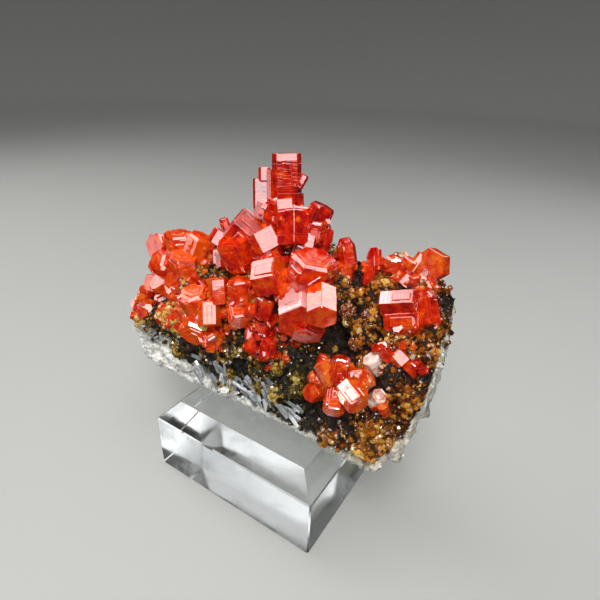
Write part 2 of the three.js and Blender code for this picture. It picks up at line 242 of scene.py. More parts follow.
# %% [markdown]
# ## Rock, druse and acrylic
#
# The rock is limonite under a dark crust of manganese oxide, with pale stone where it broke. It
# is rough and never one colour. So the recipe has five ramps over noise of 1 mm: crust and pale
# stone, each cold and warm, and a grey stain in streaks. Two attributes from the modelling step
# say where pale stone shows and where it is warm. Noise of 6 mm makes the pale stone's edge ragged.
#
# A druse is a coat of tiny crystals. Here they are amber to olive brown and half a millimetre to
# a millimetre across, and each one carries its own tone, so a single material gives gold, brown
# and nearly black ones. The grey blades and the white grains are druses in other colours.
#
# The block is cast acrylic, flame-polished, with faint scuffs from handling.

# %% The rock recipe
GRAIN_COLOURS = {  # ramps over the fine grain: dark crust and pale stone, each cold and warm
    "cold crust": [(0.0, "#020202"), (0.5, "#0b0a07"), (0.8, "#26200f"), (1.0, "#564a28")],
    "warm crust": [(0.0, "#030201"), (0.5, "#0f0803"), (0.8, "#3a1d0a"), (1.0, "#8a5120")],
    "cold stone": [(0.0, "#858682"), (0.25, "#cdccc5"), (0.55, "#efece2"), (1.0, "#fffdf8")],
    "warm stone": [(0.0, "#6a5a46"), (0.35, "#b3a488"), (0.65, "#e2d7c0"), (1.0, "#fbf5e9")],
    "stain": [(0.0, "#1e1e1f"), (0.5, "#5c5d5c"), (1.0, "#a09c92")]}
GRIT, PATCH = 1.0, 5.882  # mm, the grain of the stone and the patches that it breaks in
STREAK = np.array([6.667, 1.111, 1.429])  # mm, a stain is long along the bedding and thin across it
GRIT_HEIGHT = 0.4  # mm


def broken_rock():
    """Dark crust and pale stone, each a ramp over fine noise and blended from cold to warm by the
    attribute warm. The attribute fresh, made ragged by broad noise, decides between them."""
    material, add = new_material("limonite rock with manganese crust, broken")
    place = add("TexCoord").outputs["Object"]
    warm, fresh = (add("Attribute", {"attribute_name": key}).outputs["Fac"]
                   for key in ("warm", "fresh"))
    fine = add("TexNoise", Vector=place, Scale=per_metre(GRIT), Detail=6.0, Roughness=0.65)
    broad = add("TexNoise", Vector=place, Scale=per_metre(PATCH), Detail=4.0)
    bedding = add("Mapping", Vector=place, Scale=per_metre(STREAK))
    streaks = add("TexNoise", Vector=bedding, Scale=1.0, Detail=4.0)
    grain = add("MapRange", Value=fine, From_Min=0.3, From_Max=0.7)
    ramps = {key: add("ValToRGB", {"stops": stops}, Fac=grain)
             for key, stops in GRAIN_COLOURS.items()}
    crust = add("Mix", MIX_COLOURS, _0=warm, _6=ramps["cold crust"], _7=ramps["warm crust"])
    stone = add("Mix", MIX_COLOURS, _0=warm, _6=ramps["cold stone"], _7=ramps["warm stone"])
    stains = add("MapRange", Value=streaks, From_Min=0.48, From_Max=0.64, To_Max=0.65)
    stained = add("Mix", MIX_COLOURS, _0=stains, _6=stone, _7=ramps["stain"])
    uneven = add("MapRange", Value=broad, From_Min=0.3, From_Max=0.7, To_Min=-0.3, To_Max=0.3)
    ragged = add("MapRange", Value=add("Math", _0=fresh, _1=uneven), From_Min=0.4, From_Max=0.6)
    mixed = add("Mix", MIX_COLOURS, _0=ragged, _6=crust, _7=stained)
    bump = add("Bump", Strength=0.8, Distance=GRIT_HEIGHT * MM, Height=fine)
    dull = add("MapRange", Value=fine, From_Min=0.35, From_Max=0.65, To_Min=0.4, To_Max=0.85)
    shader = add("BsdfPrincipled", Base_Color=mixed, Roughness=dull, Normal=bump)
    add("OutputMaterial", Surface=shader)
    return material


# Broken, never polished: no clear highlight, only a glitter where a grain faces the light.
ROCK = broken_rock()
print("rock material:", ROCK.name)

# %% The druse recipe
SPECKLE = 0.5556  # mm, the mottling inside a tiny crystal


def druse(name, stops, clear, roughness, warm_stops=None):
    """Tiny glassy crystals whose colour is a ramp over each one's own tone. Where the attribute
    warm is 1, the second ramp takes over."""
    material, add = new_material(name)
    tone, warm = (add("Attribute", {"attribute_name": key}).outputs["Fac"]
                  for key in ("tone", "warm"))
    place = add("TexCoord").outputs["Object"]
    grain = add("TexNoise", Vector=place, Scale=per_metre(SPECKLE), Detail=3.0)
    speckle = add("MapRange", Value=grain, From_Min=0.3, From_Max=0.7, To_Min=-0.12, To_Max=0.12)
    varied = add("Math", _0=tone, _1=speckle)
    cold = add("ValToRGB", {"stops": stops}, Fac=varied)
    warmer = add("ValToRGB", {"stops": warm_stops or stops}, Fac=varied)
    body = add("Mix", MIX_COLOURS, _0=warm, _6=cold, _7=warmer)
    shader = add("BsdfPrincipled", Base_Color=body, Roughness=roughness, IOR=1.9,
                 Transmission_Weight=clear)
    add("OutputMaterial", Surface=shader)
    return material


# Natural faces again, each too small to mirror more than one lamp: sparks over honey and olive.
OLIVE_TO_STRAW = [(0.0, "#0c0904"), (0.35, "#2b210d"), (0.6, "#6f5a22"), (0.8, "#b3933a"),
                  (1.0, "#e6cf7c")]
RUST_TO_HONEY = [(0.0, "#150803"), (0.3, "#572608"), (0.6, "#ab5a12"), (0.8, "#dd8824"),
                 (1.0, "#fac468")]
AMBER = druse("amber mimetite druse, tiny crystals", OLIVE_TO_STRAW, 0.35, 0.07, RUST_TO_HONEY)
# The same growth stained by iron: a sugary red brown.
BROWN = druse("red-brown druse, tiny crystals",
              [(0.0, "#2a1008"), (0.4, "#6b2c14"), (0.75, "#a85a34"), (1.0, "#dca482")], 0.2, 0.08)
# Baryte splits along flat planes: broad grey sides with a soft shine, almost without colour.
BARYTE = druse("grey baryte blades, cleaved",
               [(0.0, "#62676a"), (0.5, "#9a9fa1"), (1.0, "#dcdedd")], 0.2, 0.15)
# Broken quartz: small glassy white points along the rim.
PALE_GRAIN = druse("white quartz grains",
                   [(0.0, "#8f9397"), (0.5, "#c9ccce"), (1.0, "#fbfaf6")], 0.25, 0.12)
print("druse materials:", [material.name for material in (AMBER, BROWN, BARYTE, PALE_GRAIN)])

# %% The acrylic recipe
SCUFF = 14.29  # mm, the largest of the scuffs


def cast_acrylic():
    """Clear cast acrylic, index 1.49, flame-polished. Faint scuffs soften what shows through it
    in places, and a trace of absorption greys the long way through."""
    material, add = new_material("clear cast acrylic, polished")
    place = add("TexCoord").outputs["Object"]
    scuffs = add("TexNoise", Vector=place, Scale=per_metre(SCUFF), Detail=9.0, Roughness=0.7)
    dull = add("MapRange", Value=scuffs, From_Min=0.45, From_Max=0.7, To_Min=0.05, To_Max=0.28)
    shader = add("BsdfPrincipled", Base_Color=colour("#fbfdfd"), IOR=1.49, Roughness=dull,
                 Transmission_Weight=1.0)
    depth = add("VolumeAbsorption", Color=colour("#dfeaea"), Density=4.0)
    add("OutputMaterial", Surface=shader, Volume=depth)
    return material


ACRYLIC = cast_acrylic()
print("materials:", len(bpy.data.materials))

# %% [markdown]
# ## From arrays to a mesh
#
# Every piece below is a list of point arrays and face arrays. One collector shifts the face
# numbers of each new shape past the points already there, and one function writes the result
# into a mesh in a few array calls.
#
# Attributes ride along, and the recipes above read them: `tone`, one number for each crystal;
# `local`, the place in the crystal's own axes in millimetres; `lid`, `edge` and `skin`, which mark
# faces; and on the rock and its druse `fresh` and `warm`.

# %% Collect shapes and write meshes
class Shapes:
    """Gathers shapes, each as points, face arrays and named attributes, into one mesh."""

    def __init__(self):
        self.points, self.faces, self.attributes, self.count = [], [], {}, 0

    def add(self, points, faces, **attributes):
        """Attributes have a value for each point, or for each face in the order of the faces."""
        self.points.append(points)
        self.faces += [face + self.count for face in faces]
        for name, values in attributes.items():
            self.attributes.setdefault(name, []).append(values)
        self.count += len(points)


def write_piece(name, shapes, material, slot, nodes=(), smooth=False):
    """One mesh object from gathered shapes, riding on the root body."""
    loops = np.concatenate([face.ravel() for face in shapes.faces]).astype(np.int32)
    sizes = np.concatenate([np.full(len(face), face.shape[1]) for face in shapes.faces])
    starts = np.concatenate([[0], np.cumsum(sizes)[:-1]]).astype(np.int32)
    points = np.concatenate(shapes.points)
    mesh = bpy.data.meshes.new(name)
    mesh.vertices.add(len(points))
    mesh.vertices.foreach_set("co", (points * MM).ravel().astype(np.float32))
    mesh.loops.add(len(loops))
    mesh.loops.foreach_set("vertex_index", loops)
    mesh.polygons.add(len(sizes))
    mesh.polygons.foreach_set("loop_start", starts)
    mesh.polygons.foreach_set("use_smooth", np.full(len(sizes), smooth))
    mesh.update(calc_edges=True)
    for key, values in shapes.attributes.items():
        joined = np.concatenate(values).astype(np.float32)
        vector = joined.ndim == 2
        layer = mesh.attributes.new(key, "FLOAT_VECTOR" if vector else "FLOAT",
                                    "POINT" if len(joined) == len(points) else "FACE")
        layer.data.foreach_set("vector" if vector else "value", joined.ravel())
    mesh.materials.append(material)
    piece = bpy.data.objects.new(name, mesh)
    bpy.context.scene.collection.objects.link(piece)
    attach(piece, "root")
    if nodes:
        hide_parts(*nodes)
    print(f"{name}: {len(points)} points, {int((sizes - 2).sum())} triangles")
    return piece


def ring_faces(rings, count):
    """Quads that join each ring of count points to the next, and a lid on the first and last."""
    index = np.arange(rings * count).reshape(rings, count)
    low, high = index[:-1], index[1:]
    quads = np.stack([low, np.roll(low, -1, 1), np.roll(high, -1, 1), high], -1).reshape(-1, 4)
    return [quads, index[:1, ::-1], index[-1:]]


# %% [markdown]
# ## The display block
#
# Cast acrylic cut from 20 mm sheet, with its top edge bevelled at about 45 degrees and polished.
# A real polished edge is never a knife edge, so the outline's corners and each change of slope
# get a small flat of about a quarter of a millimetre, which draws a bright line in the light.

# %% Build the block
block_high = np.array(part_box("display_block")[1]) / MM
BEVEL, EDGE_FLAT, CORNER_FLAT = 4.6, 0.22, 0.3
TOP_FLAT = 0.08  # how far the bevel's upper flat starts below the top


def block_ring(inset, z, flat=CORNER_FLAT):
    """A rectangle drawn in by inset, with each corner cut by a small flat."""
    x, y = block_high[:2] - inset
    corners = [(x, y - flat), (x - flat, y), (flat - x, y), (-x, y - flat),
               (-x, flat - y), (flat - x, -y), (x - flat, -y), (x, flat - y)]
    return np.column_stack([corners, np.full(len(corners), z)])


top = block_high[2]
shoulder = top - BEVEL
block_rings = [block_ring(EDGE_FLAT, 0), block_ring(0, EDGE_FLAT), block_ring(0, shoulder - EDGE_FLAT),
               block_ring(EDGE_FLAT, shoulder + EDGE_FLAT), block_ring(BEVEL - EDGE_FLAT, top - TOP_FLAT),
               block_ring(BEVEL + EDGE_FLAT, top)]
block = Shapes()
block.add(np.concatenate(block_rings), ring_faces(len(block_rings), len(block_rings[0])))
clear_block = write_piece("clear_block", block, ACRYLIC, "clear_acrylic", ["display_block"])
clear_block.visible_shadow = False  # the light goes through it to the floor

# %% [markdown]
# ## One crystal
#
# A prism crystal is a hexagon carried along its axis. Three things stop it looking machined:
# its faces step in and out by hundredths of a millimetre where growth paused, its end is a
# stack of thin hexagonal terraces, and its edges are bright hairline flats. All three are rings
# at a certain height with a certain inset, so one list of (height, inset) pairs describes a
# crystal, and numpy carries the whole list at once.
#
# A new crystal starts from its row in a table, a tone, and counts of growth steps and terraces.

# %% The crystal function
# How an end is trimmed: how far its rim is drawn in, and over what height, in millimetres.
EDGE, TRIM, BLUNT, DOME = (0.08, 0.1), (0.22, 0.26), (0.36, 0.4), (0.5, 0.6)
POINT, CAP = (1.0, 1.7), (0.13, 1.3)
CRISP = 0.09  # how far a small crystal's end is trimmed, as a share of its radius
HAIRLINE = 0.055  # mm, the bright flat along each edge; under a radius of 1 mm it shrinks too
GROWTH_STEP = 0.05  # how far a growth step reaches in, as a share of a radius up to MOST_STEPPED
MOST_STEPPED = 2.0  # mm
LEDGE = 0.02  # mm, the slope of each small step
DOME_TERRACE, FLAT_TERRACE = 0.28, 0.03  # mm, the height of a terrace on a domed and a flat end
PIT_RIM, PIT_FLOOR = 0.36, 0.42  # how far in a pit starts and ends, as shares of the radius
TERRACE_SHIFT = 0.16  # how far the terraces lie off the middle, as a share of the radius
PATTERN_SHIFT = 50  # each crystal gets its own part of the patterns, moved by up to this much
PAINTED_REFLECTION_LIMIT = 0.35  # a side faces up enough to carry the painted reflection when its normal's z is past this
ANGLES = np.radians(60 * np.arange(6))
draw = np.random.default_rng(11)


def crystal_axes(azimuth, elevation, turn):
    """The crystal's own axes: two across, turned by turn about the third, which is its axis."""
    az, el, spin = np.radians([azimuth, elevation, turn])
    axis = np.array([np.cos(el) * np.cos(az), np.cos(el) * np.sin(az), np.sin(el)])
    across = np.array([-np.sin(az), np.cos(az), 0.0])
    over = np.cross(axis, across)
    first = across * np.cos(spin) + over * np.sin(spin)
    return np.array([first, np.cross(axis, first), axis])


def hexagons(radii, widen):
    """One hexagon for each radius, drawn apart by widen, each corner cut by a hairline flat: 12
    points, a little before and a little after each corner."""
    u = radii[:, None] * np.cos(ANGLES) + widen * np.where(np.cos(ANGLES) > 0, 1, -1)
    corners = np.stack([u, radii[:, None] * np.sin(ANGLES)], -1)
    flat = np.minimum(HAIRLINE, radii * HAIRLINE)[:, None, None]
    before = np.roll(corners, 1, 1) - corners
    after = np.roll(corners, -1, 1) - corners
    cut = [corners + side * flat / np.linalg.norm(side, axis=-1, keepdims=True)
           for side in (before, after)]
    return np.stack(cut, 2).reshape(len(radii), 12, 2)


def growth_profile(radius, length, end, bands, terraces, barrel, pit):
    """Heights and insets of the rings, from the lower lid up: the trimmed end, the stepped flank,
    the upper trim, and then either terraces on the lid or, with a pit, a wall and the way down."""
    inset, height = end or (CRISP * radius, CRISP * radius)
    half = length / 2
    flank = np.linspace(height - half, half - height, bands + 1)
    steps = draw.uniform(0, GROWTH_STEP, bands) * min(radius, MOST_STEPPED)
    share = 2 * flank / length
    low = np.stack([flank[:-1], steps + barrel * share[:-1] ** 2], 1)
    high = np.stack([flank[1:] - LEDGE, steps + barrel * share[1:] ** 2], 1)
    sides = np.stack([low, high], 1).reshape(-1, 2)
    shelf = inset + barrel
    step = DOME_TERRACE if end == DOME else FLAT_TERRACE
    rise = np.arange(terraces) * step
    inward = shelf + (radius - shelf) * (np.arange(terraces) + 0.4) / (terraces + 0.6)
    lid = np.stack([np.stack([half + rise, inward - LEDGE], 1),
                    np.stack([half + rise + step, inward], 1)], 1).reshape(-1, 2)
    if pit:
        lid = np.array([[half, radius * PIT_RIM], [half - pit, radius * PIT_FLOOR]])
    top = np.concatenate([[[half, shelf]], lid])
    bottom = np.array([[-half, shelf]])
    return np.concatenate([bottom, sides, top])


def crystal(shapes, row, tone, bands, terraces=2, barrel=0.0, pit=0.0, skin=0.0):
    """Adds one crystal: x, y, z, azimuth, elevation, turn, radius, length, end and widen as in
    the tables below. Every ring is a hexagon at a height along the axis. skin is how much
    painted reflection, a pinkish white painted on its upward sides, it carries."""
    x, y, z, azimuth, elevation, turn, radius, length, end, widen = (*row, 0)[:10]
    axes = crystal_axes(azimuth, elevation, turn)
    profile = growth_profile(radius, length, end, bands, terraces, barrel, pit)
    flat = hexagons(radius - profile[:, 1], widen)
    if not pit:
        flat[2 * bands + 2:] += draw.uniform(-TERRACE_SHIFT, TERRACE_SHIFT, 2) * radius
    heights = np.repeat(profile[:, 0], 12)
    local = np.column_stack([flat.reshape(-1, 2), heights])
    points = np.array([x, y, z]) + local @ axes
    shift = draw.uniform(-PATTERN_SHIFT, PATTERN_SHIFT, 3)
    above_flank = np.repeat(np.arange(len(profile) - 1) > 2 * bands, 12)
    sideways = (flat[1] + np.roll(flat[1], -1, axis=0)) @ axes[:2]
    upward = sideways[:, 2] > PAINTED_REFLECTION_LIMIT * np.linalg.norm(sideways, axis=1)
    hairline = np.arange(12) % 2 == 0
    on_edge, on_top = (np.tile(mark, len(profile) - 1) & ~above_flank for mark in (hairline, upward))
    shapes.add(points, ring_faces(len(profile), 12),
               local=local + shift, tone=np.full(len(points), tone), lid=np.append(above_flank, [1, 1]),
               edge=np.append(on_edge, [0, 0]), skin=skin * np.append(on_top, [0, 0]))


# %% [markdown]
# ## Parallel growth
#
# Few large crystals are single. Smaller ones grow on them in the same direction, so faces break
# into blocks with square notches and the ends into steps. These are copies of the parent's row,
# thinner, moved off towards one of its faces or corners so that only a slice stands proud. Small
# ones that lie at any angle are scattered over the roughest crystals.

# %% Parallel and scattered growth
FACE_SHARE = 0.87  # a hexagon's face is this share of the radius away from its middle
ON_FLANK = 0.9  # how far out a scattered crystal's middle lies, as a share of the radius
SCATTERED_SIZES = (0.3, 0.85)  # mm, their radii


def parallel_rows(row, count, proud):
    """Rows for count thinner crystals in the parent's own direction, each moved towards a face
    or corner so that it stands proud by about a share of its own radius, and shifted along."""
    x, y, z, azimuth, elevation, turn, radius, length, end, widen = (*row, 0)[:10]
    axes = crystal_axes(azimuth, elevation, turn)
    rows = []
    for _ in range(count):
        small = radius * draw.uniform(0.3, 0.62)
        angle = np.radians(draw.choice([0, 30]) + 60 * draw.integers(6) + draw.uniform(-8, 8))
        reach = FACE_SHARE * (radius - small * (1 - draw.uniform(0.3, 1) * proud))
        long = length * draw.uniform(0.35, 0.8)
        along = draw.uniform(-0.5, 1.0) * (length - long) / 2 + draw.uniform(0, 0.25) * proud
        offset = np.array([reach * np.cos(angle), reach * np.sin(angle), along]) @ axes
        rows.append([x + offset[0], y + offset[1], z + offset[2], azimuth, elevation, turn,
                     small, long, None, widen * 0.4])
    return rows


def scattered_rows(rows, count):
    """Rows for small crystals that sit on the flanks and ends of the given ones at any angle."""
    found = []
    for _ in range(count):
        x, y, z, azimuth, elevation, turn, radius, length = rows[draw.integers(len(rows))][:8]
        axes = crystal_axes(azimuth, elevation, turn)
        angle, along = draw.uniform(0, 2 * np.pi), draw.uniform(-0.5, 0.5) * length
        reach = radius * ON_FLANK
        offset = np.array([reach * np.cos(angle), reach * np.sin(angle), along]) @ axes
        small = draw.uniform(*SCATTERED_SIZES)
        found.append([x + offset[0], y + offset[1], z + offset[2],
                      draw.uniform(-180, 180), draw.uniform(-30, 90), draw.uniform(0, 60),
                      small, small * draw.uniform(1.2, 2.2), None])
    return found


# %% [markdown]
# ## The clusters
#
# Each row is one crystal: the middle of it, where its axis points, its turn about that axis, its
# radius and length, and how its ends are trimmed. A tenth number draws two corners apart, as on
# a crystal that grew flat. Places, directions and sizes are the solid model's own, so each piece
# fills the place of its solid, and growth steps, parallel crystals and terraces come on top.

# %% Crystal tables
CLUSTERS = {
    "crown_cluster": [
        [-0.5, 5.5, 75, 140, 82, 166, 2, 9.8, CAP, 1.1],
        [-6, 4, 71, 128, 66, 174, 1.2, 6.4, EDGE, 0.7],
        [-6, 5, 75, 130, 70, 178, 1.1, 2.8, EDGE, 0.2],
        [-4, 5, 72.5, 130, 76, 16, 1.2, 7.5, EDGE],
        [3.4, 5.2, 75, 50, 62, 8, 0.9, 2.8, EDGE],
        [2.5, 6, 70.5, 138, 78, 56, 0.9, 3.4, EDGE],
        [-4, 3.5, 68, 72, 78, 8, 2.7, 4, BLUNT],
        [-0.5, 5, 68.5, 144, 72, 42, 3.2, 5, BLUNT],
        [-9, 3, 61.5, -152, 40, 22, 4.6, 9, BLUNT],
        [-1.5, 0, 63, -176, 56, 128, 2.8, 4.4, EDGE, 0.7],
        [3.5, 2.5, 66, 128, 62, 26, 4, 7.6, BLUNT],
        [7.5, 5, 68, 42, 66, 32, 2.8, 6, BLUNT],
        [8, 4, 66, -10, 82, 8, 2, 4.6, BLUNT],
        [7.5, 2.5, 63.5, 102, 60, 18, 1.8, 3.8, EDGE],
        [6, 1, 61.5, 20, 68, 32, 1.9, 4.2, TRIM],
        [10, 5, 64, 102, 68, 36, 1.4, 4.4, TRIM],
        [-15, 2, 63, -160, 70, 58, 1.1, 2.6, EDGE],
        [-14.5, 0, 60, 64, 54, 60, 2.2, 3.4, EDGE, 0.6],
        [-16, -0.5, 55.5, 128, 72, 4, 1.4, 3.2, EDGE],
        [-13, -0.5, 55.5, 130, 72, 12, 1.8, 3.2, EDGE, 0.6],
        [-9.5, 0, 58, -128, 68, 48, 4.2, 7.5, DOME],
        [-2, 1, 60, -108, 84, 18, 3.8, 7, DOME],
    ],
    "front_barrel_cluster": [
        [2.5, -4, 57, 12, 22, 42, 4.3, 5.6, TRIM],
        [10.5, -4.5, 51.5, 124, 16, 28, 5.3, 6.8, TRIM],
        [16, -6, 55.5, 122, 18, 26, 3.3, 6.8, TRIM],
        [10.5, -1, 59, 2, 78, 2, 4.8, 7, DOME],
        [12, -4, 48.5, -62, -28, 18, 3.8, 5, DOME],
    ],
    "left_cluster": [
        [-37, 2.5, 52, -94, 20, 12, 3.4, 7, EDGE],
        [-30, 1.5, 54, -12, 90, 30, 3.6, 7, DOME],
        [-24.5, 2, 54.5, 46, 68, 42, 3.3, 7, DOME],
        [-26.5, 0, 50.5, -56, 72, 16, 3.8, 7.5, DOME],
        [-33.5, 0, 48.5, -108, 34, 50, 3.5, 7.5, DOME],
        [-29.5, -3, 43, -156, 50, 126, 1.7, 2.8, EDGE, 0.4],
        [-34, -1, 43, -104, 44, 48, 3, 6, BLUNT],
        [-28, -2, 46, 50, 56, 14, 1.1, 2.6, EDGE],
        [-30, -1, 45.5, -100, 30, 0, 2.4, 4.4, TRIM],
    ],
    "left_side_crystal": [[-39.5, 0.4, 41.3, -92, 18, 18, 2.9, 4.8, TRIM]],
    "left_end_cluster": [
        [-44, -1.5, 33, -94, 56, 28, 2.7, 6, TRIM],
        [-41, -2.5, 34, -100, 12, 56, 2.8, 5.6, BLUNT],
    ],
    "lower_left_cluster": [
        [-19, -5, 44.5, -104, 74, 10, 3.7, 6.6, DOME],
        [-13, -7, 44, 130, 52, 4, 2.4, 5.6, TRIM, 0.3],
        [-18, -6, 38.5, -70, -12, 40, 3.8, 6.5, DOME],
        [-14, -6, 37.5, -22, -18, 24, 2.7, 5.5, BLUNT],
        [-12.5, -4, 49, 132, 72, 0, 2.1, 6, TRIM, 0.3],
        [-29.5, -4, 37.5, 92, 56, 42, 1.5, 3.6, EDGE, 0.2],
        [-24.5, -5, 39.5, -148, 66, 2, 1.5, 3.4, EDGE],
        [-21, -6, 38.5, -172, 60, 18, 1.4, 3, EDGE],
        [-25.5, -4.6, 38, 0, 8, 0, 1.7, 9, TRIM],
    ],
    "centre_left_cluster": [
        [-6, -4, 51, 170, 82, 24, 2.7, 5.4, BLUNT],
        [-5.5, -5, 46, -42, -24, 8, 2.9, 5.4, BLUNT],
        [-2, -5.5, 47.5, -4, 46, 38, 1.7, 4, TRIM],
        [1.5, -5, 49.5, 80, 76, 54, 2.1, 4.6, TRIM],
    ],
    "small_middle_cluster": [
        [0.5, -5, 44, 110, 72, 16, 1.8, 3.8, TRIM],
        [-2, -6, 42.5, 102, 66, 24, 1.1, 2.8, EDGE],
        [-0.5, -6, 40, -80, 18, 6, 1.9, 3.8, EDGE],
        [4, -7, 41.5, 60, 80, 22, 2, 4, BLUNT],
        [1, -5.6, 42, 0, 80, 0, 2, 4.5, BLUNT],
    ],
    "rear_tablet_cluster": [
        [14, 7, 61, 154, 68, 38, 2.1, 7.2, POINT],
        [14.5, 6, 57.5, 120, 80, 10, 2, 4, BLUNT],
    ],
    "bevelled_crystal_cluster": [
        [19, 10, 60, 136, 66, 8, 1.9, 5.4, POINT],
        [19, 9, 57, 100, 70, 0, 2, 4.5, BLUNT],
    ],
    "right_top_cluster": [
        [24, 9, 60, 78, 86, 32, 2.2, 4.8, BLUNT],
        [26.5, 9, 60.5, 36, 68, 14, 1.7, 4.6, TRIM],
        [31, 10.5, 62, -104, 16, 48, 3.5, 3, EDGE],
        [27.5, 7, 59, 50, 50, 50, 1.3, 2.4, EDGE, 0.3],
        [31, 8, 58.5, -40, -20, 38, 2.1, 4.4, BLUNT],
        [28, 10, 62, 56, 56, 46, 1.1, 4, EDGE],
    ],
    "right_shelf_cluster": [
        [28.5, 2, 56.5, 8, 18, 36, 2.9, 6.8, TRIM],
        [30, 1, 53.5, 10, 18, 4, 2.9, 6.4, BLUNT],
        [34, 3, 55.5, 130, 44, 4, 2.4, 4.8, TRIM],
        [32.5, 4, 58, 16, 52, 12, 1.5, 3.6, TRIM],
    ],
    "right_lower_cluster": [
        [29, -1, 47.5, 32, 20, 54, 1.3, 2.4, EDGE],
        [31.5, -2, 47.5, 178, 34, 128, 1.5, 2.8, EDGE, 0.3],
        [33.5, -1, 46, -30, 0, 6, 2, 4.2, TRIM],
        [31, 0, 49.5, 24, 30, 8, 1.6, 3.4, TRIM],
    ],
    "pale_flat_crystal": [[27, -3, 44.5, -130, 56, 88, 1.8, 4, TRIM, 0.2]],
    "hollow_crystal": [[29.5, -6.5, 39.5, -36, 56, 52, 1.6, 4, EDGE]],
    "rosette_cluster": [
        [17, -7.5, 36, -104, 16, 10, 2.1, 5, TRIM],
        [22.5, -10, 38, -66, -24, 58, 2.3, 5.2, TRIM],
        [26, -10, 41, -28, -8, 34, 2.5, 5.2, TRIM],
        [19.5, -8, 42, -174, 58, 8, 2, 5.2, TRIM],
        [22, -8, 44, 106, 74, 8, 1.9, 5.2, TRIM],
        [26.5, -8, 43, 28, 40, 58, 1.9, 5, TRIM],
        [17.5, -7, 43.5, 80, 64, 32, 1.2, 2.8, EDGE],
        [17, -8, 39.5, -154, 30, 6, 1.2, 3.6, TRIM],
        [25.5, -8, 44.5, 30, 8, 54, 1.1, 2.4, EDGE],
    ],
}
print("crystals in the tables:", sum(len(rows) for rows in CLUSTERS.values()))

# %% Build the clusters
# How many parallel crystals a parent carries, by the way its ends are trimmed.
PARALLEL = {EDGE: 0, CAP: 5, POINT: 2, TRIM: 4, BLUNT: 7, DOME: 12}
ROSETTE_PARALLEL, MORE_ON_LEFT = 9, 5  # the rosette's own count, and what the left cluster adds
CROWDED = 8  # more parallel crystals than this stand further proud
FURTHER_PROUD, PROUD = 0.35, 0.2
SCATTERED_LEFT, SCATTERED = 10, 4  # small crystals for each rough one, at the left and elsewhere
BARREL = 0.02  # how far a crystal's middle swells, as a share of its radius
BANDS_PER_MM = 1.2  # growth steps along a large crystal
PIT_DEPTH = 1.6
# Crystals whose upper faces carry a pinkish painted reflection, by their place, and how much it covers.
PAINTED_REFLECTION_SHARES = {(10.5, -4.5, 51.5): 0.7, (2.5, -4, 57): 0.12, (-9, 3, 61.5): 0.22}


def varied_tone(usual, spread):
    """A tone drawn round the usual one, kept from 0 to 1."""
    return float(np.clip(usual + draw.normal(0, spread), 0, 1))


def build_cluster(name, rows, material, slot, tone):
    """One joined mesh: every crystal of the cluster, what grows parallel on it, and small ones."""
    shapes = Shapes()
    for row in rows:
        own = varied_tone(tone, 0.12)
        radius, length, end = row[6:9]
        skin = PAINTED_REFLECTION_SHARES.get(tuple(row[:3]), 0)
        crystal(shapes, row, own, bands=max(3, int(length * BANDS_PER_MM)), skin=skin,
                barrel=0 if end == CAP else BARREL * radius,
                pit=PIT_DEPTH if name == "hollow_crystal" else 0)
        own_counts = {"rosette_cluster": ROSETTE_PARALLEL, "left_cluster": PARALLEL[end] + MORE_ON_LEFT}
        beside = own_counts.get(name, PARALLEL[end])
        for child in parallel_rows(row, beside, FURTHER_PROUD if beside > CROWDED else PROUD):
            crystal(shapes, child, varied_tone(own, 0.08), bands=2, terraces=1, skin=skin)
    rough_rows = [row for row in rows if row[8] in (BLUNT, DOME)]
    several = SCATTERED_LEFT if "left" in name else SCATTERED
    for small in scattered_rows(rough_rows, several * len(rough_rows)):
        crystal(shapes, small, varied_tone(tone + 0.1, 0.15), bands=1, terraces=1)
    write_piece(name.replace("_cluster", "_crystals") + "_look", shapes, material, slot, [name])


# The usual tone of each cluster, from 0 for deep red to 1 for bright orange.
TONES = {"crown_cluster": 0.46, "front_barrel_cluster": 0.68, "small_middle_cluster": 0.42,
         "left_cluster": 0.82, "left_end_cluster": 0.82, "left_side_crystal": 0.8,
         "lower_left_cluster": 0.8, "centre_left_cluster": 0.6, "right_top_cluster": 0.62,
         "right_shelf_cluster": 0.3, "right_lower_cluster": 0.4, "rosette_cluster": 0.62,
         "hollow_crystal": 0.3, "pale_flat_crystal": 0.66}
OTHER_TONE = 0.45
record_slots = {part["node"]: part["material_slot"] for part in frame["record"]["subparts"]}
for name, rows in CLUSTERS.items():
    orange = record_slots[name] == "orange_vanadinite"
    material = PALE if name in ("pale_flat_crystal", "hollow_crystal") else ORANGE if orange else RED
    build_cluster(name, rows, material, record_slots[name], TONES.get(name, OTHER_TONE))

# %% [markdown]
# ## Filling the gaps
#
# Where two large crystals meet there is never an empty gap: smaller ones grew in the corner
# between them. So each pair of near neighbours gets a few, placed between the two middles and
# set back towards the rock, where they close the gap and leave the front faces clear.

# %% Grow crystals between neighbours
NEIGHBOUR = 1.5  # mm between the sides of two crystals that still count as neighbours


def bridging_rows(rows, each):
    """Rows for small crystals between each two parents nearer than their radii and NEIGHBOUR."""
    places = np.array([row[:3] for row in rows], float)
    radii = np.array([row[6] for row in rows])
    gaps = np.linalg.norm(places[:, None] - places[None], axis=-1)
    first, second = np.nonzero(np.triu(gaps < radii[:, None] + radii[None] + NEIGHBOUR, 1))
    found = []
    for i, j in zip(np.repeat(first, each), np.repeat(second, each)):
        share = draw.uniform(0.25, 0.75)
        x, y, z = places[i] * (1 - share) + places[j] * share + draw.normal(0, 0.5, 3)
        small = draw.uniform(0.32, 0.62) * min(radii[i], radii[j])
        found.append([x, y + draw.uniform(0.2, 0.9) * small, z - 0.2,
                      draw.uniform(-180, 20), draw.uniform(0, 80), draw.uniform(0, 60),
                      small, small * draw.uniform(1.5, 2.4), None])
    return found


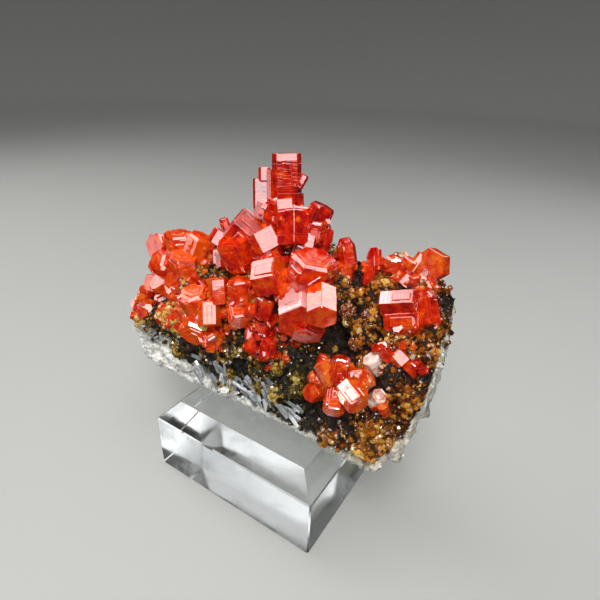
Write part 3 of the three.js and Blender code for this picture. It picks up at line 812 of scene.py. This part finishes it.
FILLS = [  # the piece, its material, its slot, its tone, how many in each gap, and its clusters
    ("red", RED, "red_vanadinite", 0.62, 3,
     ["crown_cluster", "front_barrel_cluster", "left_cluster", "left_end_cluster",
      "left_side_crystal", "lower_left_cluster", "centre_left_cluster", "rear_tablet_cluster"]),
    ("orange", ORANGE, "orange_vanadinite", 0.5, 3,
     ["right_top_cluster", "right_shelf_cluster", "right_lower_cluster", "small_middle_cluster",
      "bevelled_crystal_cluster"]),
    ("rosette", ORANGE, "orange_vanadinite", 0.6, 6, ["rosette_cluster"]),
]
for fill, material, slot, tone, each, names in FILLS:
    between = Shapes()
    for row in bridging_rows([row for name in names for row in CLUSTERS[name]], each):
        crystal(between, row, varied_tone(tone, 0.16), bands=2, terraces=1)
    write_piece("small_" + fill + "_crystals", between, material, slot)

# %% [markdown]
# ## The rock
#
# The rock is a slab that stands on its lower edge. Its shape is easiest to give as a few
# cross-sections along its length: where the foot and the ridge are, and how far forward and back
# the stone reaches at each. Smooth steps join one section to the next. Then the skin is pushed in
# and out along its own normals by the sum of two sizes of broken facets, fine roughness, and
# rounder lumps and buds, which are the heaps that the druse grew in.
#
# A facet field comes from random seeds on a jittered lattice: each point belongs to its nearest
# seed and is moved by that seed's own tilted plane, as chips of stone are. The rounder fields are
# value noise: random numbers on a lattice, blended smoothly.

# %% Rock shape
ROCK_STATIONS = np.array([
    # x, foot z, ridge z, front y at the foot, at the ridge, back y at the ridge, at the foot
    [-46, 24.5, 31, -4.5, -2, 4, 3],
    [-42, 22.6, 42, -6, 1, 8, 7],
    [-34, 21.4, 49, -6.5, 2, 11, 10],
    [-24, 20, 52.5, -6.5, 2.5, 13, 13],
    [-12, 20, 57, -6, 3.5, 14, 14],
    [-2, 20, 58.5, -5.5, 4, 14, 14],
    [8, 20, 58, -5.5, 5, 14, 14],
    [14, 20, 57.5, -6, 6, 14, 14],
    [17, 20, 55, -6, 6.5, 14, 14],
    [24, 20, 58, -6.5, 6.5, 14, 12],
    [31, 20.6, 58.5, -6.5, 6.5, 14, 8],
    [35, 27, 57, -5, 6.5, 14, 10],
    [38, 37, 52, -2, 5, 12, 10],
])
# Hollows and swellings of the front: x, z, half width, half height, depth (negative swells out).
RELIEF = [(16, 44, 5, 4.5, 4), (12, 33, 3.5, 8, 2.5), (22, 39, 5, 5, -2.4), (30, 40, 3.5, 3.5, -1),
          (31.5, 48.5, 4, 3, 1.6), (10, 50, 6, 4, -1.5), (-3, 47, 7, 6, -2.2), (-18, 41, 6, 6, -1.6),
          (-9, 33, 5, 5, 1.2)]
COLUMNS, FRONT, RIDGE, BACK, FOOT = 250, 120, 34, 56, 40  # points along, and round each section
END_ROUND = 3.0  # the ends round off over this length
RIDGE_BOW, BACK_BULGE = 1.6, 1.2
RELIEF_FADE = 1.2  # the front's relief is none at the foot and again above 1 / 1.2 of its height
FOOT_LEVEL = 20.02  # the rock stands on the block, a hair above its top
LATTICE, SEED_LATTICE = 32, 16  # the noise and the facets repeat after this many cells
OCTAVE_SHIFT = 7.3  # cells, so that the octaves don't line up
CHIP_TILT = 0.45  # the usual slope of a chip
BARE_FOOT, FREE_OVER = 20.3, 1.5  # mm, the push starts at this height and is full this far above


def value_noise(points, cell, seed, octaves):
    """Random numbers on a cubic lattice, blended by smooth steps, summed over octaves that each
    halve the cell and the height. About -1 to 1."""
    table = np.random.default_rng(seed).uniform(-1, 1, (LATTICE, LATTICE, LATTICE))
    total = np.zeros(len(points))
    for octave in range(octaves):
        scaled = points * 2 ** octave / cell + OCTAVE_SHIFT * octave
        base = np.floor(scaled).astype(int)
        part = scaled - base
        part = part * part * (3 - 2 * part)
        for corner in np.ndindex(2, 2, 2):
            i, j, k = ((base + corner) % LATTICE).T
            weight = np.prod(np.where(np.array(corner) == 1, part, 1 - part), axis=1)
            total += table[i, j, k] * weight / 2 ** octave
    return total


def facets(points, cell, seed):
    """Height of tilted chips: the nearest of the seeds in 27 lattice cells decides the plane."""
    draws = np.random.default_rng(seed)
    jitter = draws.uniform(0, 1, (SEED_LATTICE, SEED_LATTICE, SEED_LATTICE, 3))
    tilt = draws.normal(0, CHIP_TILT, jitter.shape)
    base = np.floor(points / cell).astype(int)
    best, height = np.full(len(points), np.inf), np.zeros(len(points))
    for step in np.ndindex(3, 3, 3):
        cell_index = base + np.array(step) - 1
        i, j, k = (cell_index % SEED_LATTICE).T
        away = points - (cell_index + jitter[i, j, k]) * cell
        distance = (away ** 2).sum(1)
        nearer = distance < best
        best = np.where(nearer, distance, best)
        height = np.where(nearer, (away * tilt[i, j, k]).sum(1), height)
    return height


def rock_section_values(x):
    """The station table at each x, with a smooth step between neighbours."""
    at = ROCK_STATIONS[:, 0]
    i = np.clip(np.searchsorted(at, x, side="right") - 1, 0, len(at) - 2)
    t = np.clip((x - at[i]) / (at[i + 1] - at[i]), 0, 1)
    eased = (t * t * (3 - 2 * t))[:, None]
    return (ROCK_STATIONS[i] * (1 - eased) + ROCK_STATIONS[i + 1] * eased)[:, 1:].T[:, :, None]


def rock_grid():
    """The bare skin as a grid of columns by rows: up the front with a cubic roll over to the
    ridge, across it in a bow, down the back with a slight bulge, and flat along the foot."""
    x = np.linspace(ROCK_STATIONS[0, 0], ROCK_STATIONS[-1, 0], COLUMNS)
    foot, ridge, front_foot, front_ridge, back_ridge, back_foot = rock_section_values(x)
    s = np.linspace(0, 1, FRONT)
    z_front = foot + (ridge - foot) * s
    y_front = front_foot + (front_ridge - front_foot) * s ** 3
    fade = np.sin(np.pi * np.minimum(RELIEF_FADE * s, 1))
    for middle_x, middle_z, wide, tall, deep in RELIEF:
        away = ((x[:, None] - middle_x) / wide) ** 2 + ((z_front - middle_z) / tall) ** 2
        y_front = y_front + fade * deep * np.exp(-away)
    s = np.linspace(0, 1, RIDGE + 2)[1:-1]
    z_top = ridge + RIDGE_BOW * np.sin(np.pi * s)
    y_top = front_ridge + (back_ridge - front_ridge) * s
    s = np.linspace(0, 1, BACK)
    z_back = ridge - (ridge - foot) * s
    y_back = back_ridge + (back_foot - back_ridge) * s + BACK_BULGE * np.sin(np.pi * s)
    s = np.linspace(0, 1, FOOT + 2)[1:-1]
    z_foot, y_foot = foot + 0 * s, back_foot + (front_foot - back_foot) * s
    y = np.concatenate([y_front, y_top, y_back, y_foot], 1)
    z = np.concatenate([z_front, z_top, z_back, z_foot], 1)
    grid = np.stack([np.broadcast_to(x[:, None], y.shape), y, z], -1)
    middle = grid.mean(1, keepdims=True)
    left = np.clip((x - x[0]) / END_ROUND, 0, 1)
    right = np.clip((x[-1] - x) / END_ROUND, 0, 1)
    size = np.sqrt(1 - (1 - np.minimum(left, right)) ** 2).clip(0.03)[:, None, None]
    rounded = middle + (grid - middle) * size
    rounded[..., 0] = grid[..., 0]
    return rounded


def grid_normals(grid):
    """Outward normals: the cross product of the steps along the rows and along the columns."""
    along = np.gradient(grid, axis=0)
    around = np.roll(grid, -1, 1) - np.roll(grid, 1, 1)
    normal = np.cross(along, around)
    return normal / np.maximum(np.linalg.norm(normal, axis=-1, keepdims=True), 1e-9)


bare = rock_grid()
normals = grid_normals(bare)
flat_points = bare.reshape(-1, 3)
outward = np.sign(((bare - bare.mean((0, 1))) * normals).sum(-1).mean())
normals *= outward
ROWS = bare.shape[1]
row_number = np.broadcast_to(np.arange(ROWS), bare.shape[:2]).ravel()
x_all, y_all, z_all = flat_points.T
free = np.clip((z_all - BARE_FOOT) / FREE_OVER, 0, 1)  # the foot stays flat where it stands
chips = 0.55 * facets(flat_points, 6.5, 3) + 0.5 * facets(flat_points, 2.6, 4)
rough = 0.55 * value_noise(flat_points, 2.4, 5, 4)
clumps = value_noise(flat_points, 5.0, 21, 2)
buds = value_noise(flat_points, 2.6, 24, 2)
lumps = 1.4 * np.clip(clumps, -0.8, 0.8) + 0.9 * buds
from_end = np.minimum(x_all - ROCK_STATIONS[0, 0], ROCK_STATIONS[-1, 0] - x_all)
near_end = np.clip(0.1 + from_end / 4, 0, 1)  # the pushes die out towards the thin ends
push = (np.clip(chips, -1.6, 0.9) + rough + lumps) * free * near_end
skin = flat_points + normals.reshape(-1, 3) * push[:, None]
skin[:, 2] = np.maximum(skin[:, 2], FOOT_LEVEL)
rock_points = skin.reshape(bare.shape)
print("rock from", np.round(skin.min(0), 1), "to", np.round(skin.max(0), 1), "mm")

# %% [markdown]
# Fresh pale stone shows where the slab was broken off: along the front of the foot, round both
# ends and over the back. The front above it is covered by dark crust. That mask is an attribute,
# so the rock's material can blend the two with a ragged edge. A second one, warm, is near 1 close
# to the red crystals and towards the right end.

# %% Write the rock
on_front = row_number < FRONT
on_ridge = (row_number >= FRONT) & (row_number < FRONT + RIDGE)
foot_at = np.broadcast_to(rock_section_values(bare[:, 0, 0])[0], bare.shape[:2]).ravel()
above_foot = z_all - foot_at
# How high up the front the pale break reaches above the foot, at a few places along x.
RIM_PLACES, RIM_HEIGHTS = [-46, -30, -18, -8, 10, 25, 38], [19, 16, 9, 5, 4, 5, 6]
lower_rim = np.clip(1 - above_foot / np.interp(x_all, RIM_PLACES, RIM_HEIGHTS), 0, 1)
right_rim = np.clip((x_all - 36.9) / 0.8, 0, 0.9)
left_rim = np.clip((-43.5 - x_all) / 2, 0, 1) * 0.6
fresh = np.where(on_front, np.maximum(np.maximum(lower_rim * 1.1, right_rim), left_rim), 0.75)
fresh = np.where(on_ridge, 0.15 + 0.5 * right_rim, fresh)

large = np.array([row[:3] + [row[6]] for rows in CLUSTERS.values() for row in rows], float)
to_middle = np.linalg.norm(flat_points[:, None] - large[None, :, :3], axis=2)
near_red = (to_middle - large[:, 3]).min(1)  # mm to the side of the nearest large crystal
to_the_right = np.clip((x_all - 10) / 16, 0, 0.75)
warmth = np.clip(np.clip(1.2 - near_red / 4, 0, 1) + to_the_right, 0, 1)

behind = row_number >= FRONT + RIDGE
warmth = np.where(behind, np.clip(0.5 + 0.8 * value_noise(flat_points, 13, 23, 2), 0, 1), warmth)

rock_shapes = Shapes()
index = np.arange(COLUMNS * ROWS).reshape(COLUMNS, ROWS)
low, high = index[:-1], index[1:]
quads = np.stack([low, high, np.roll(high, -1, 1), np.roll(low, -1, 1)], -1).reshape(-1, 4)
lids = [index[:1], index[-1:, ::-1]]
rock_shapes.add(skin, [quads, *lids], fresh=fresh, warm=warmth)
write_piece("rock", rock_shapes, ROCK, "matrix_rock", ["matrix"], smooth=True)

# %% [markdown]
# ## The druse
#
# Between the red crystals the rock is coated with crystals of half a millimetre to a millimetre,
# amber and olive brown, packed side by side and pointing roughly outwards. A template of ten points
# is enough for the fine ones and one of eighteen for the coarse ones. Copies are placed all at
# once: an array of rotation matrices, one of sizes and one of places turn the template into every
# crystal in a single product. The coat is three pieces along the rock, so that none is too heavy.

# %% Scatter tiny crystals
def tiny_template(sides, levels):
    """A small tapered prism as a ring of points at each level, with single faces as lids. Levels
    are pairs of height and radius, for a crystal of size 1, and the surface is at height 0."""
    angles = 2 * np.pi * np.arange(sides) / sides
    ring = np.column_stack([np.cos(angles), np.sin(angles)])
    points = np.concatenate([np.column_stack([ring * wide, np.full(sides, z)]) for z, wide in levels])
    return points, ring_faces(len(levels), sides)


COARSE = tiny_template(6, [(-0.6, 0.8), (0.35, 0.95), (0.8, 0.62)])
FINE = tiny_template(5, [(-0.6, 0.9), (0.7, 0.5)])
print("faces in a coarse and a fine crystal:", [sum(map(len, faces)) for _, faces in (COARSE, FINE)])


def add_copies(shapes, template, scale, axes, places, **per_copy):
    """Adds the template once for each place: its points times the scale, turned to the axes, then
    moved. per_copy has one value of each attribute for each copy."""
    corners, faces = template
    points = np.einsum("pk,nk,nkc->npc", corners, scale, axes) + places[:, None]
    shift = np.arange(len(places))[:, None, None] * len(corners)
    all_faces = [(face[None] + shift).reshape(-1, face.shape[1]) for face in faces]
    repeated = {key: np.repeat(values, len(corners)) for key, values in per_copy.items()}
    shapes.add(points.reshape(-1, 3), all_faces, **repeated)


def turned_axes(normals, draws, spread_angle):
    """A set of axes for each normal: the third is the normal leaned by a random angle, the other
    two are square to it and turned by a random spin."""
    lean = normals + draws.normal(0, math.tan(spread_angle), normals.shape)
    third = lean / np.linalg.norm(lean, axis=1, keepdims=True)
    helper = draws.normal(0, 1, normals.shape)
    first = np.cross(helper, third)
    first /= np.linalg.norm(first, axis=1, keepdims=True)
    return np.stack([first, np.cross(third, first), third], 1)


def scatter(shapes, places, normals, sizes, stretch, draws, spread_angle=0.5, template=COARSE,
            **per_copy):
    """Adds one tiny crystal for each place, along the normal but for a random lean, and stretched
    along its own axis."""
    axes = turned_axes(normals, draws, spread_angle)
    scale = np.stack([sizes, sizes, sizes * stretch], 1)
    add_copies(shapes, template, scale, axes, places, **per_copy)


def pick(weights, count, draws):
    """Numbers of count grid points, drawn with chances in proportion to the weights."""
    return draws.choice(len(weights), count, p=weights / weights.sum())


skin_normals = (grid_normals(rock_points) * outward).reshape(-1, 3)
hidden_foot = row_number >= FRONT + RIDGE + BACK
covered = np.where(on_front, np.clip(1.1 - 2.0 * fresh, 0, 1), 0) + np.where(on_ridge, 0.8, 0)
patchy = np.clip(0.5 + clumps + 1.2 * buds, 0.3, 2.0)
EVEN_FROM = 32.5  # right of this the coat is even, and elsewhere it is patchy
coat = covered * np.where(x_all > EVEN_FROM, 1.3, patchy) * ~hidden_foot

druse_draws = np.random.default_rng(31)


def amber_coat(name, weights, layers):
    """One piece of druse. Each layer is a number of crystals, their usual size, and a template."""
    shapes = Shapes()
    for count, size, template in layers:
        chosen = pick(weights, count, druse_draws)
        # The tone varies at random and with size, and it also rises with clumps and buds, the lumps that
        # push the rock out: that part is painted shade, darker in the hollows. glow adds painted light
        # near the red crystals.
        tones = (0.38 + 0.26 * clumps[chosen] + 0.22 * buds[chosen] + 0.5 * (size - 0.3)
                 + glow[chosen] + druse_draws.normal(0, 0.2, count))
        swell = 0.85 + 0.25 * clumps[chosen] + 0.25 * buds[chosen]
        sizes = (druse_draws.lognormal(np.log(size), 0.3, count) * swell).clip(0.14, 0.95)
        warm = np.clip(warmth[chosen] + druse_draws.normal(0, 0.2, count), 0, 1)
        stretch = druse_draws.uniform(0.8, 1.7, count)
        scatter(shapes, skin[chosen], skin_normals[chosen], sizes, stretch, druse_draws,
                template=template, tone=np.clip(tones, 0, 1), warm=warm)
    write_piece(name, shapes, AMBER, "matrix_rock")


glow = 0.4 * np.clip(1.1 - near_red / 2.5, 0, 1) * (x_all < 8)  # lit through the red crystals
AMBER_LAYERS = [(5800, 0.27, FINE), (1500, 0.46, COARSE)]
for name, west, east in (("left_amber_druse", -50, -12), ("middle_amber_druse", -12, 13),
                         ("right_amber_druse", 13, 40)):
    amber_coat(name, coat * (x_all >= west) * (x_all < east), AMBER_LAYERS)

# %% [markdown]
# ## Small crystals at the roots
#
# Round the foot of each large crystal stand many small ones of the same kind, and at the left
# they cover the rock between the clusters. They are large enough to show their faces, so each is
# a real crystal from the crystal function, with one growth step, placed on a point of the rock
# that is drawn by weight: the nearer to a large crystal, the likelier.

# %% A carpet of small red crystals round the roots of the large ones
CARPET_SIZE = 0.75  # mm, the usual radius


def carpet(name, weights, count, tone):
    """Small orange-red crystals standing on the rock where the weights say, partly sunk in it."""
    shapes = Shapes()
    for i in pick(weights, count, draw):
        normal = skin_normals[i] + draw.normal(0, 0.5, 3)
        normal /= np.linalg.norm(normal)
        small = float(np.clip(draw.lognormal(np.log(CARPET_SIZE), 0.35), 0.35, 1.5))
        azimuth = math.degrees(math.atan2(normal[1], normal[0]))
        elevation = math.degrees(math.asin(normal[2]))
        row = [*(skin[i] + 0.25 * small * normal), azimuth, elevation, draw.uniform(0, 60),
               small, small * draw.uniform(1.4, 2.4), None]
        crystal(shapes, row, varied_tone(tone, 0.18), bands=1, terraces=1)
    write_piece(name, shapes, ORANGE, "orange_vanadinite")


CARPET_ABOVE, DENSE_ABOVE = 33, 41  # mm, the lowest place of the carpet and of its dense part
seen = (row_number < FRONT + RIDGE) * (z_all > CARPET_ABOVE)
close_by = np.clip(1.2 - near_red / 2.6, 0, 1) ** 2 * seen
between_left = np.clip(1.3 - near_red / 5, 0, 1) * seen * (z_all > DENSE_ABOVE) * (y_all < 8)
round_left = np.maximum(close_by, 0.8 * between_left) * (x_all < 0)
round_middle = np.clip(1.2 - near_red / 4, 0, 1) * seen * (x_all >= -5) * (x_all < 12)
round_right = close_by ** 4 * (x_all >= 17)
carpet("left_carpet_crystals", round_left, 760, 0.45)
carpet("middle_carpet_crystals", round_middle, 210, 0.5)
carpet("right_carpet_crystals", round_right, 70, 0.5)

# %% [markdown]
# ## Pale grains
#
# Broken stone sparkles a little, because grains of quartz stick out of it. They are the fine
# template again, thinly spread where the rock is fresh: on its rims and over its back.

# %% Sparse pale grains on the broken rim and the back
pale_share = np.clip(fresh - 0.45, 0, 1) * ~hidden_foot
grains = Shapes()
PALE_COUNT, PALE_SIZE = 1500, 0.32
chosen = pick(pale_share, PALE_COUNT, druse_draws)
sizes = druse_draws.lognormal(np.log(PALE_SIZE), 0.3, PALE_COUNT).clip(0.15, 0.7)
stretch, tones = (druse_draws.uniform(*limits, PALE_COUNT) for limits in ((0.6, 1.2), (0.3, 1)))
scatter(grains, skin[chosen], skin_normals[chosen], sizes, stretch, druse_draws,
        spread_angle=0.9, template=FINE, tone=tones)
write_piece("pale_grains", grains, PALE_GRAIN, "matrix_rock")

# %% [markdown]
# ## The brown balls
#
# Three balls of even finer red-brown crystals sit in the hollow of the front. Each is a sphere of
# points spaced evenly by the golden angle, with one tiny crystal on each point.

# %% Build the balls
def even_sphere(count):
    """Directions spaced evenly over a sphere: equal steps in height, and a golden-angle turn."""
    height = 1 - 2 * (np.arange(count) + 0.5) / count
    turn = np.arange(count) * np.pi * (3 - np.sqrt(5))
    level = np.sqrt(1 - height ** 2)
    return np.column_stack([level * np.cos(turn), level * np.sin(turn), height])


def ball_core(centre, radius, rings=12, around=20):
    """A sphere in rings of latitude, closed by a small lid at each pole."""
    tilt = np.linspace(0.05, np.pi - 0.05, rings)[::-1]
    turn = np.arange(around) * 2 * np.pi / around
    unit = np.stack([np.sin(tilt)[:, None] * np.cos(turn), np.sin(tilt)[:, None] * np.sin(turn),
                     np.broadcast_to(np.cos(tilt)[:, None], (rings, around))], -1)
    return centre + radius * unit.reshape(-1, 3), ring_faces(rings, around)


BALLS = {  # the middle and the radius, in millimetres
    "brown_ball_left": (18, 1.6, 51.2, 1.9),
    "brown_ball_right": (23.2, 1, 52, 1.8),
    "brown_ball_lower": (22, -1.4, 46.6, 1.7),
}
CORE = 0.86  # the core's share of the ball's radius
ON_BALL = 230  # crystals on each ball
for name, (*centre, radius) in BALLS.items():
    ball = Shapes()
    points, faces = ball_core(np.array(centre), radius * CORE)
    ball.add(points, faces, tone=np.full(len(points), 0.2))
    directions = even_sphere(ON_BALL)
    places = np.array(centre) + directions * radius * CORE
    sizes, tones = (druse_draws.uniform(*limits, ON_BALL) for limits in ((0.16, 0.3), (0.1, 1)))
    scatter(ball, places, directions, sizes, 1, druse_draws, spread_angle=0.3, tone=tones)
    write_piece(name + "_look", ball, BROWN, "brown_druse", [name])

# %% [markdown]
# ## Baryte blades
#
# Low on the front, thin grey blades of baryte lie half sunk in the broken edge, in near-parallel
# sheaves. Each is one small four-sided template, stretched: long in one direction, wide in another
# and thin in the third. Its flat side faces mostly forward, so that the blade lies on the rock.

# %% Grey blades
BLADE = tiny_template(4, [(-0.6, 0.8), (0.35, 0.9), (0.8, 0.78)])
BLADE_SIZES = [(0.3, 0.7), (0.08, 0.16), (1.6, 3.8)]  # mm, half width, half thickness, length
SHEAF_SPREAD = (2.0, 0.35, 1.7)  # mm along x, y and z
FLAT_WAY = (0.35, -0.8, -0.2)  # roughly where the flat sides face


def blades(shapes, centre, lean, count, draws):
    """A sheaf of thin plates round a centre, all leaning about the same way. Each is the template
    stretched by width, thickness and length along its own axes."""
    places = np.array(centre) + draws.normal(0, 1, (count, 3)) * SHEAF_SPREAD
    directions = np.array(lean) + draws.normal(0, 0.22, (count, 3))
    third = directions / np.linalg.norm(directions, axis=1, keepdims=True)
    flat_way = np.array(FLAT_WAY) + draws.normal(0, 0.35, (count, 3))
    first = np.cross(flat_way, third)
    first /= np.linalg.norm(first, axis=1, keepdims=True)
    axes = np.stack([first, np.cross(third, first), third], 1)
    scale = np.column_stack([draws.uniform(*limits, count) for limits in BLADE_SIZES])
    add_copies(shapes, BLADE, scale, axes, places, tone=draws.uniform(0.1, 1, count))


SHEAVES = [  # the middle of a sheaf, the way its blades lean, and how many it has
    [(-16, -6.2, 26.5), (-0.5, -0.1, 0.8), 16],
    [(-9, -6.2, 26), (0.3, -0.1, 0.9), 14],
    [(-3, -5.9, 27), (-0.7, -0.12, 0.6), 22],
    [(3.5, -5.8, 26.5), (-0.3, -0.12, 0.9), 20],
    [(9, -5.8, 25), (-0.8, -0.12, 0.4), 16],
    [(28, -6.2, 30), (0.5, -0.12, 0.8), 18],
]
sheaves = Shapes()
for centre, lean, count in SHEAVES:
    blades(sheaves, centre, lean, count, druse_draws)
write_piece("baryte_blades", sheaves, BARYTE, "matrix_rock")

# %% [markdown]
# ## Floor and light
#
# The floor is a plain pale sheet, level under the specimen and rising far away, so that it has no
# horizon. A soft lamp overhead, one in front, a card at the left and a wide weak sun give the
# light that falls on everything.
#
# A smooth crystal face shows only what it mirrors, and this room is dark. So the other lamps are
# cards too: each hangs where one set of faces looks and turns those faces pinkish white, and two
# small sparks give short white glints. These give no light to dull things. The lamps overhead and
# in front give no mirror image.
#
# Clear acrylic shows little but what it mirrors and bends, so the block has cards of its own,
# which light nothing else, and the other lamps pass it by. Light linking does both.

# %% The floor
CLEARANCE = 0.2 * MM  # the floor lies a hair under the block


def plain_dish(flat=0.9, rim=2.0, height=1.5, rings=60, around=96):
    """The floor, level out to flat and then rising as the square of the way to the rim: radius
    and height along one way, the angle along the other, with a small lid in the middle."""
    radius = np.concatenate([[0.02], np.linspace(0.1, rim, rings)])[:, None]
    angle = np.linspace(0, 2 * np.pi, around, endpoint=False)
    rise = height * np.clip((radius - flat) / (rim - flat), 0, 1) ** 2
    points = np.stack([radius * np.cos(angle), radius * np.sin(angle),
                       np.broadcast_to(rise - CLEARANCE, (rings + 1, around))], -1).reshape(-1, 3)
    index = np.arange((rings + 1) * around).reshape(rings + 1, around)
    low, high = index[:-1], index[1:]
    quads = np.stack([low, high, np.roll(high, -1, 1), np.roll(low, -1, 1)], -1)
    mesh = bpy.data.meshes.new("floor")
    mesh.from_pydata(points.tolist(), [], quads.reshape(-1, 4).tolist() + [index[0].tolist()])
    mesh.polygons.foreach_set("use_smooth", np.ones(len(mesh.polygons), bool))
    floor = bpy.data.objects.new("floor", mesh)
    bpy.context.scene.collection.objects.link(floor)
    return floor


PAPER, add = new_material("pale matt paper")
add("OutputMaterial", Surface=add("BsdfPrincipled", Base_Color=colour("#a8a8a5"), Roughness=0.7))
floor = plain_dish()
floor.data.materials.append(PAPER)
floor.visible_glossy = False  # so the crystals mirror the lamps and the dark room, not the paper
print("floor:", len(floor.data.polygons), "faces")


# %% Lamps
def soft_lamp(name, place, aim, size, watts):
    """A square area lamp at place, turned so that it shines at aim. Both are in millimetres."""
    lamp = bpy.data.objects.new(name, bpy.data.lights.new(name, "AREA"))
    lamp.data.shape, lamp.data.size, lamp.data.energy = "SQUARE", size * MM, watts
    back = np.array(place, float) - np.array(aim, float)
    back /= np.linalg.norm(back)
    right = np.cross([0.0, 1.0, 0.0], back)
    right /= np.linalg.norm(right)
    matrix = np.eye(4)
    matrix[:3, :3] = np.array([right, np.cross(back, right), back]).T
    matrix[:3, 3] = np.array(place) * MM
    lamp.matrix_world = Matrix(matrix.tolist())
    lamp.visible_camera = False
    bpy.context.scene.collection.objects.link(lamp)
    return lamp


SPECIMEN_MIDDLE, BLOCK_MIDDLE = (0, 0, 40), (0, 0, 10)
LAMPS = [  # name, place, size, watts, and the rays that don't meet it
    ("overhead_softbox", (10, -20, 420), 330, 0.6, "glossy"),
    ("front_key", (140, -260, 380), 260, 2.1, "glossy"),
    ("front_card", (235, -330, 300), 340, 1.15, "diffuse"),
    ("left_card", (-354, -25, 317), 310, 0.85, ""),
    ("high_left_card", (-250, -100, 415), 150, 0.2, "diffuse"),
    ("low_left_card", (-345, -289, 32), 142, 0.08, "diffuse"),
    ("right_spark", (160, -290, 400), 55, 0.3, "diffuse"),
    ("left_spark", (-150, -280, 360), 55, 0.3, "diffuse"),
    ("back_card", (90, 330, 270), 340, 1.2, "diffuse"),
]
BLOCK_CARDS = [  # name, place, size, watts
    ("block_card_above", (0, 0, 420), 700, 0.65),
    ("block_card_back", (-100, 330, 80), 560, 0.6),
    ("block_card_left", (-340, 0, 80), 560, 0.65),
    ("block_card_right", (330, 60, 80), 560, 1.1),
    ("block_card_front", (60, -330, 80), 560, 0.35),
]
block_only = bpy.data.collections.new("block only")
all_but_block = bpy.data.collections.new("all but the block")
for group in (block_only, all_but_block):
    group.objects.link(clear_block)
all_but_block.collection_objects[0].light_linking.link_state = "EXCLUDE"
for name, place, size, watts, unmet in LAMPS:
    lamp = soft_lamp(name, place, SPECIMEN_MIDDLE, size, watts)
    lamp.visible_glossy, lamp.visible_diffuse = unmet != "glossy", unmet != "diffuse"
    lamp.light_linking.receiver_collection = all_but_block
for name, place, size, watts in BLOCK_CARDS:
    lamp = soft_lamp(name, place, BLOCK_MIDDLE, size, watts)
    lamp.light_linking.receiver_collection = block_only
print("area lamps:", len(LAMPS), "for the specimen and", len(BLOCK_CARDS), "for the block")

# %% A wide weak sun and a dark room
SUN_NAME = "even_light_from_above"
sky = bpy.data.objects.new(SUN_NAME, bpy.data.lights.new(SUN_NAME, "SUN"))
sky.data.energy, sky.data.angle = 0.7, math.radians(70)
sky.visible_glossy = False
bpy.context.scene.collection.objects.link(sky)
world = bpy.data.worlds.new("dark grey room")
world.use_nodes = True
surroundings = world.node_tree.nodes["Background"]
surroundings.inputs["Color"].default_value = colour("#b9bcc0")
surroundings.inputs["Strength"].default_value = 0.055
bpy.context.scene.world = world
bpy.context.scene.view_settings.view_transform = "Standard"
print("surroundings strength:", round(surroundings.inputs["Strength"].default_value, 3))
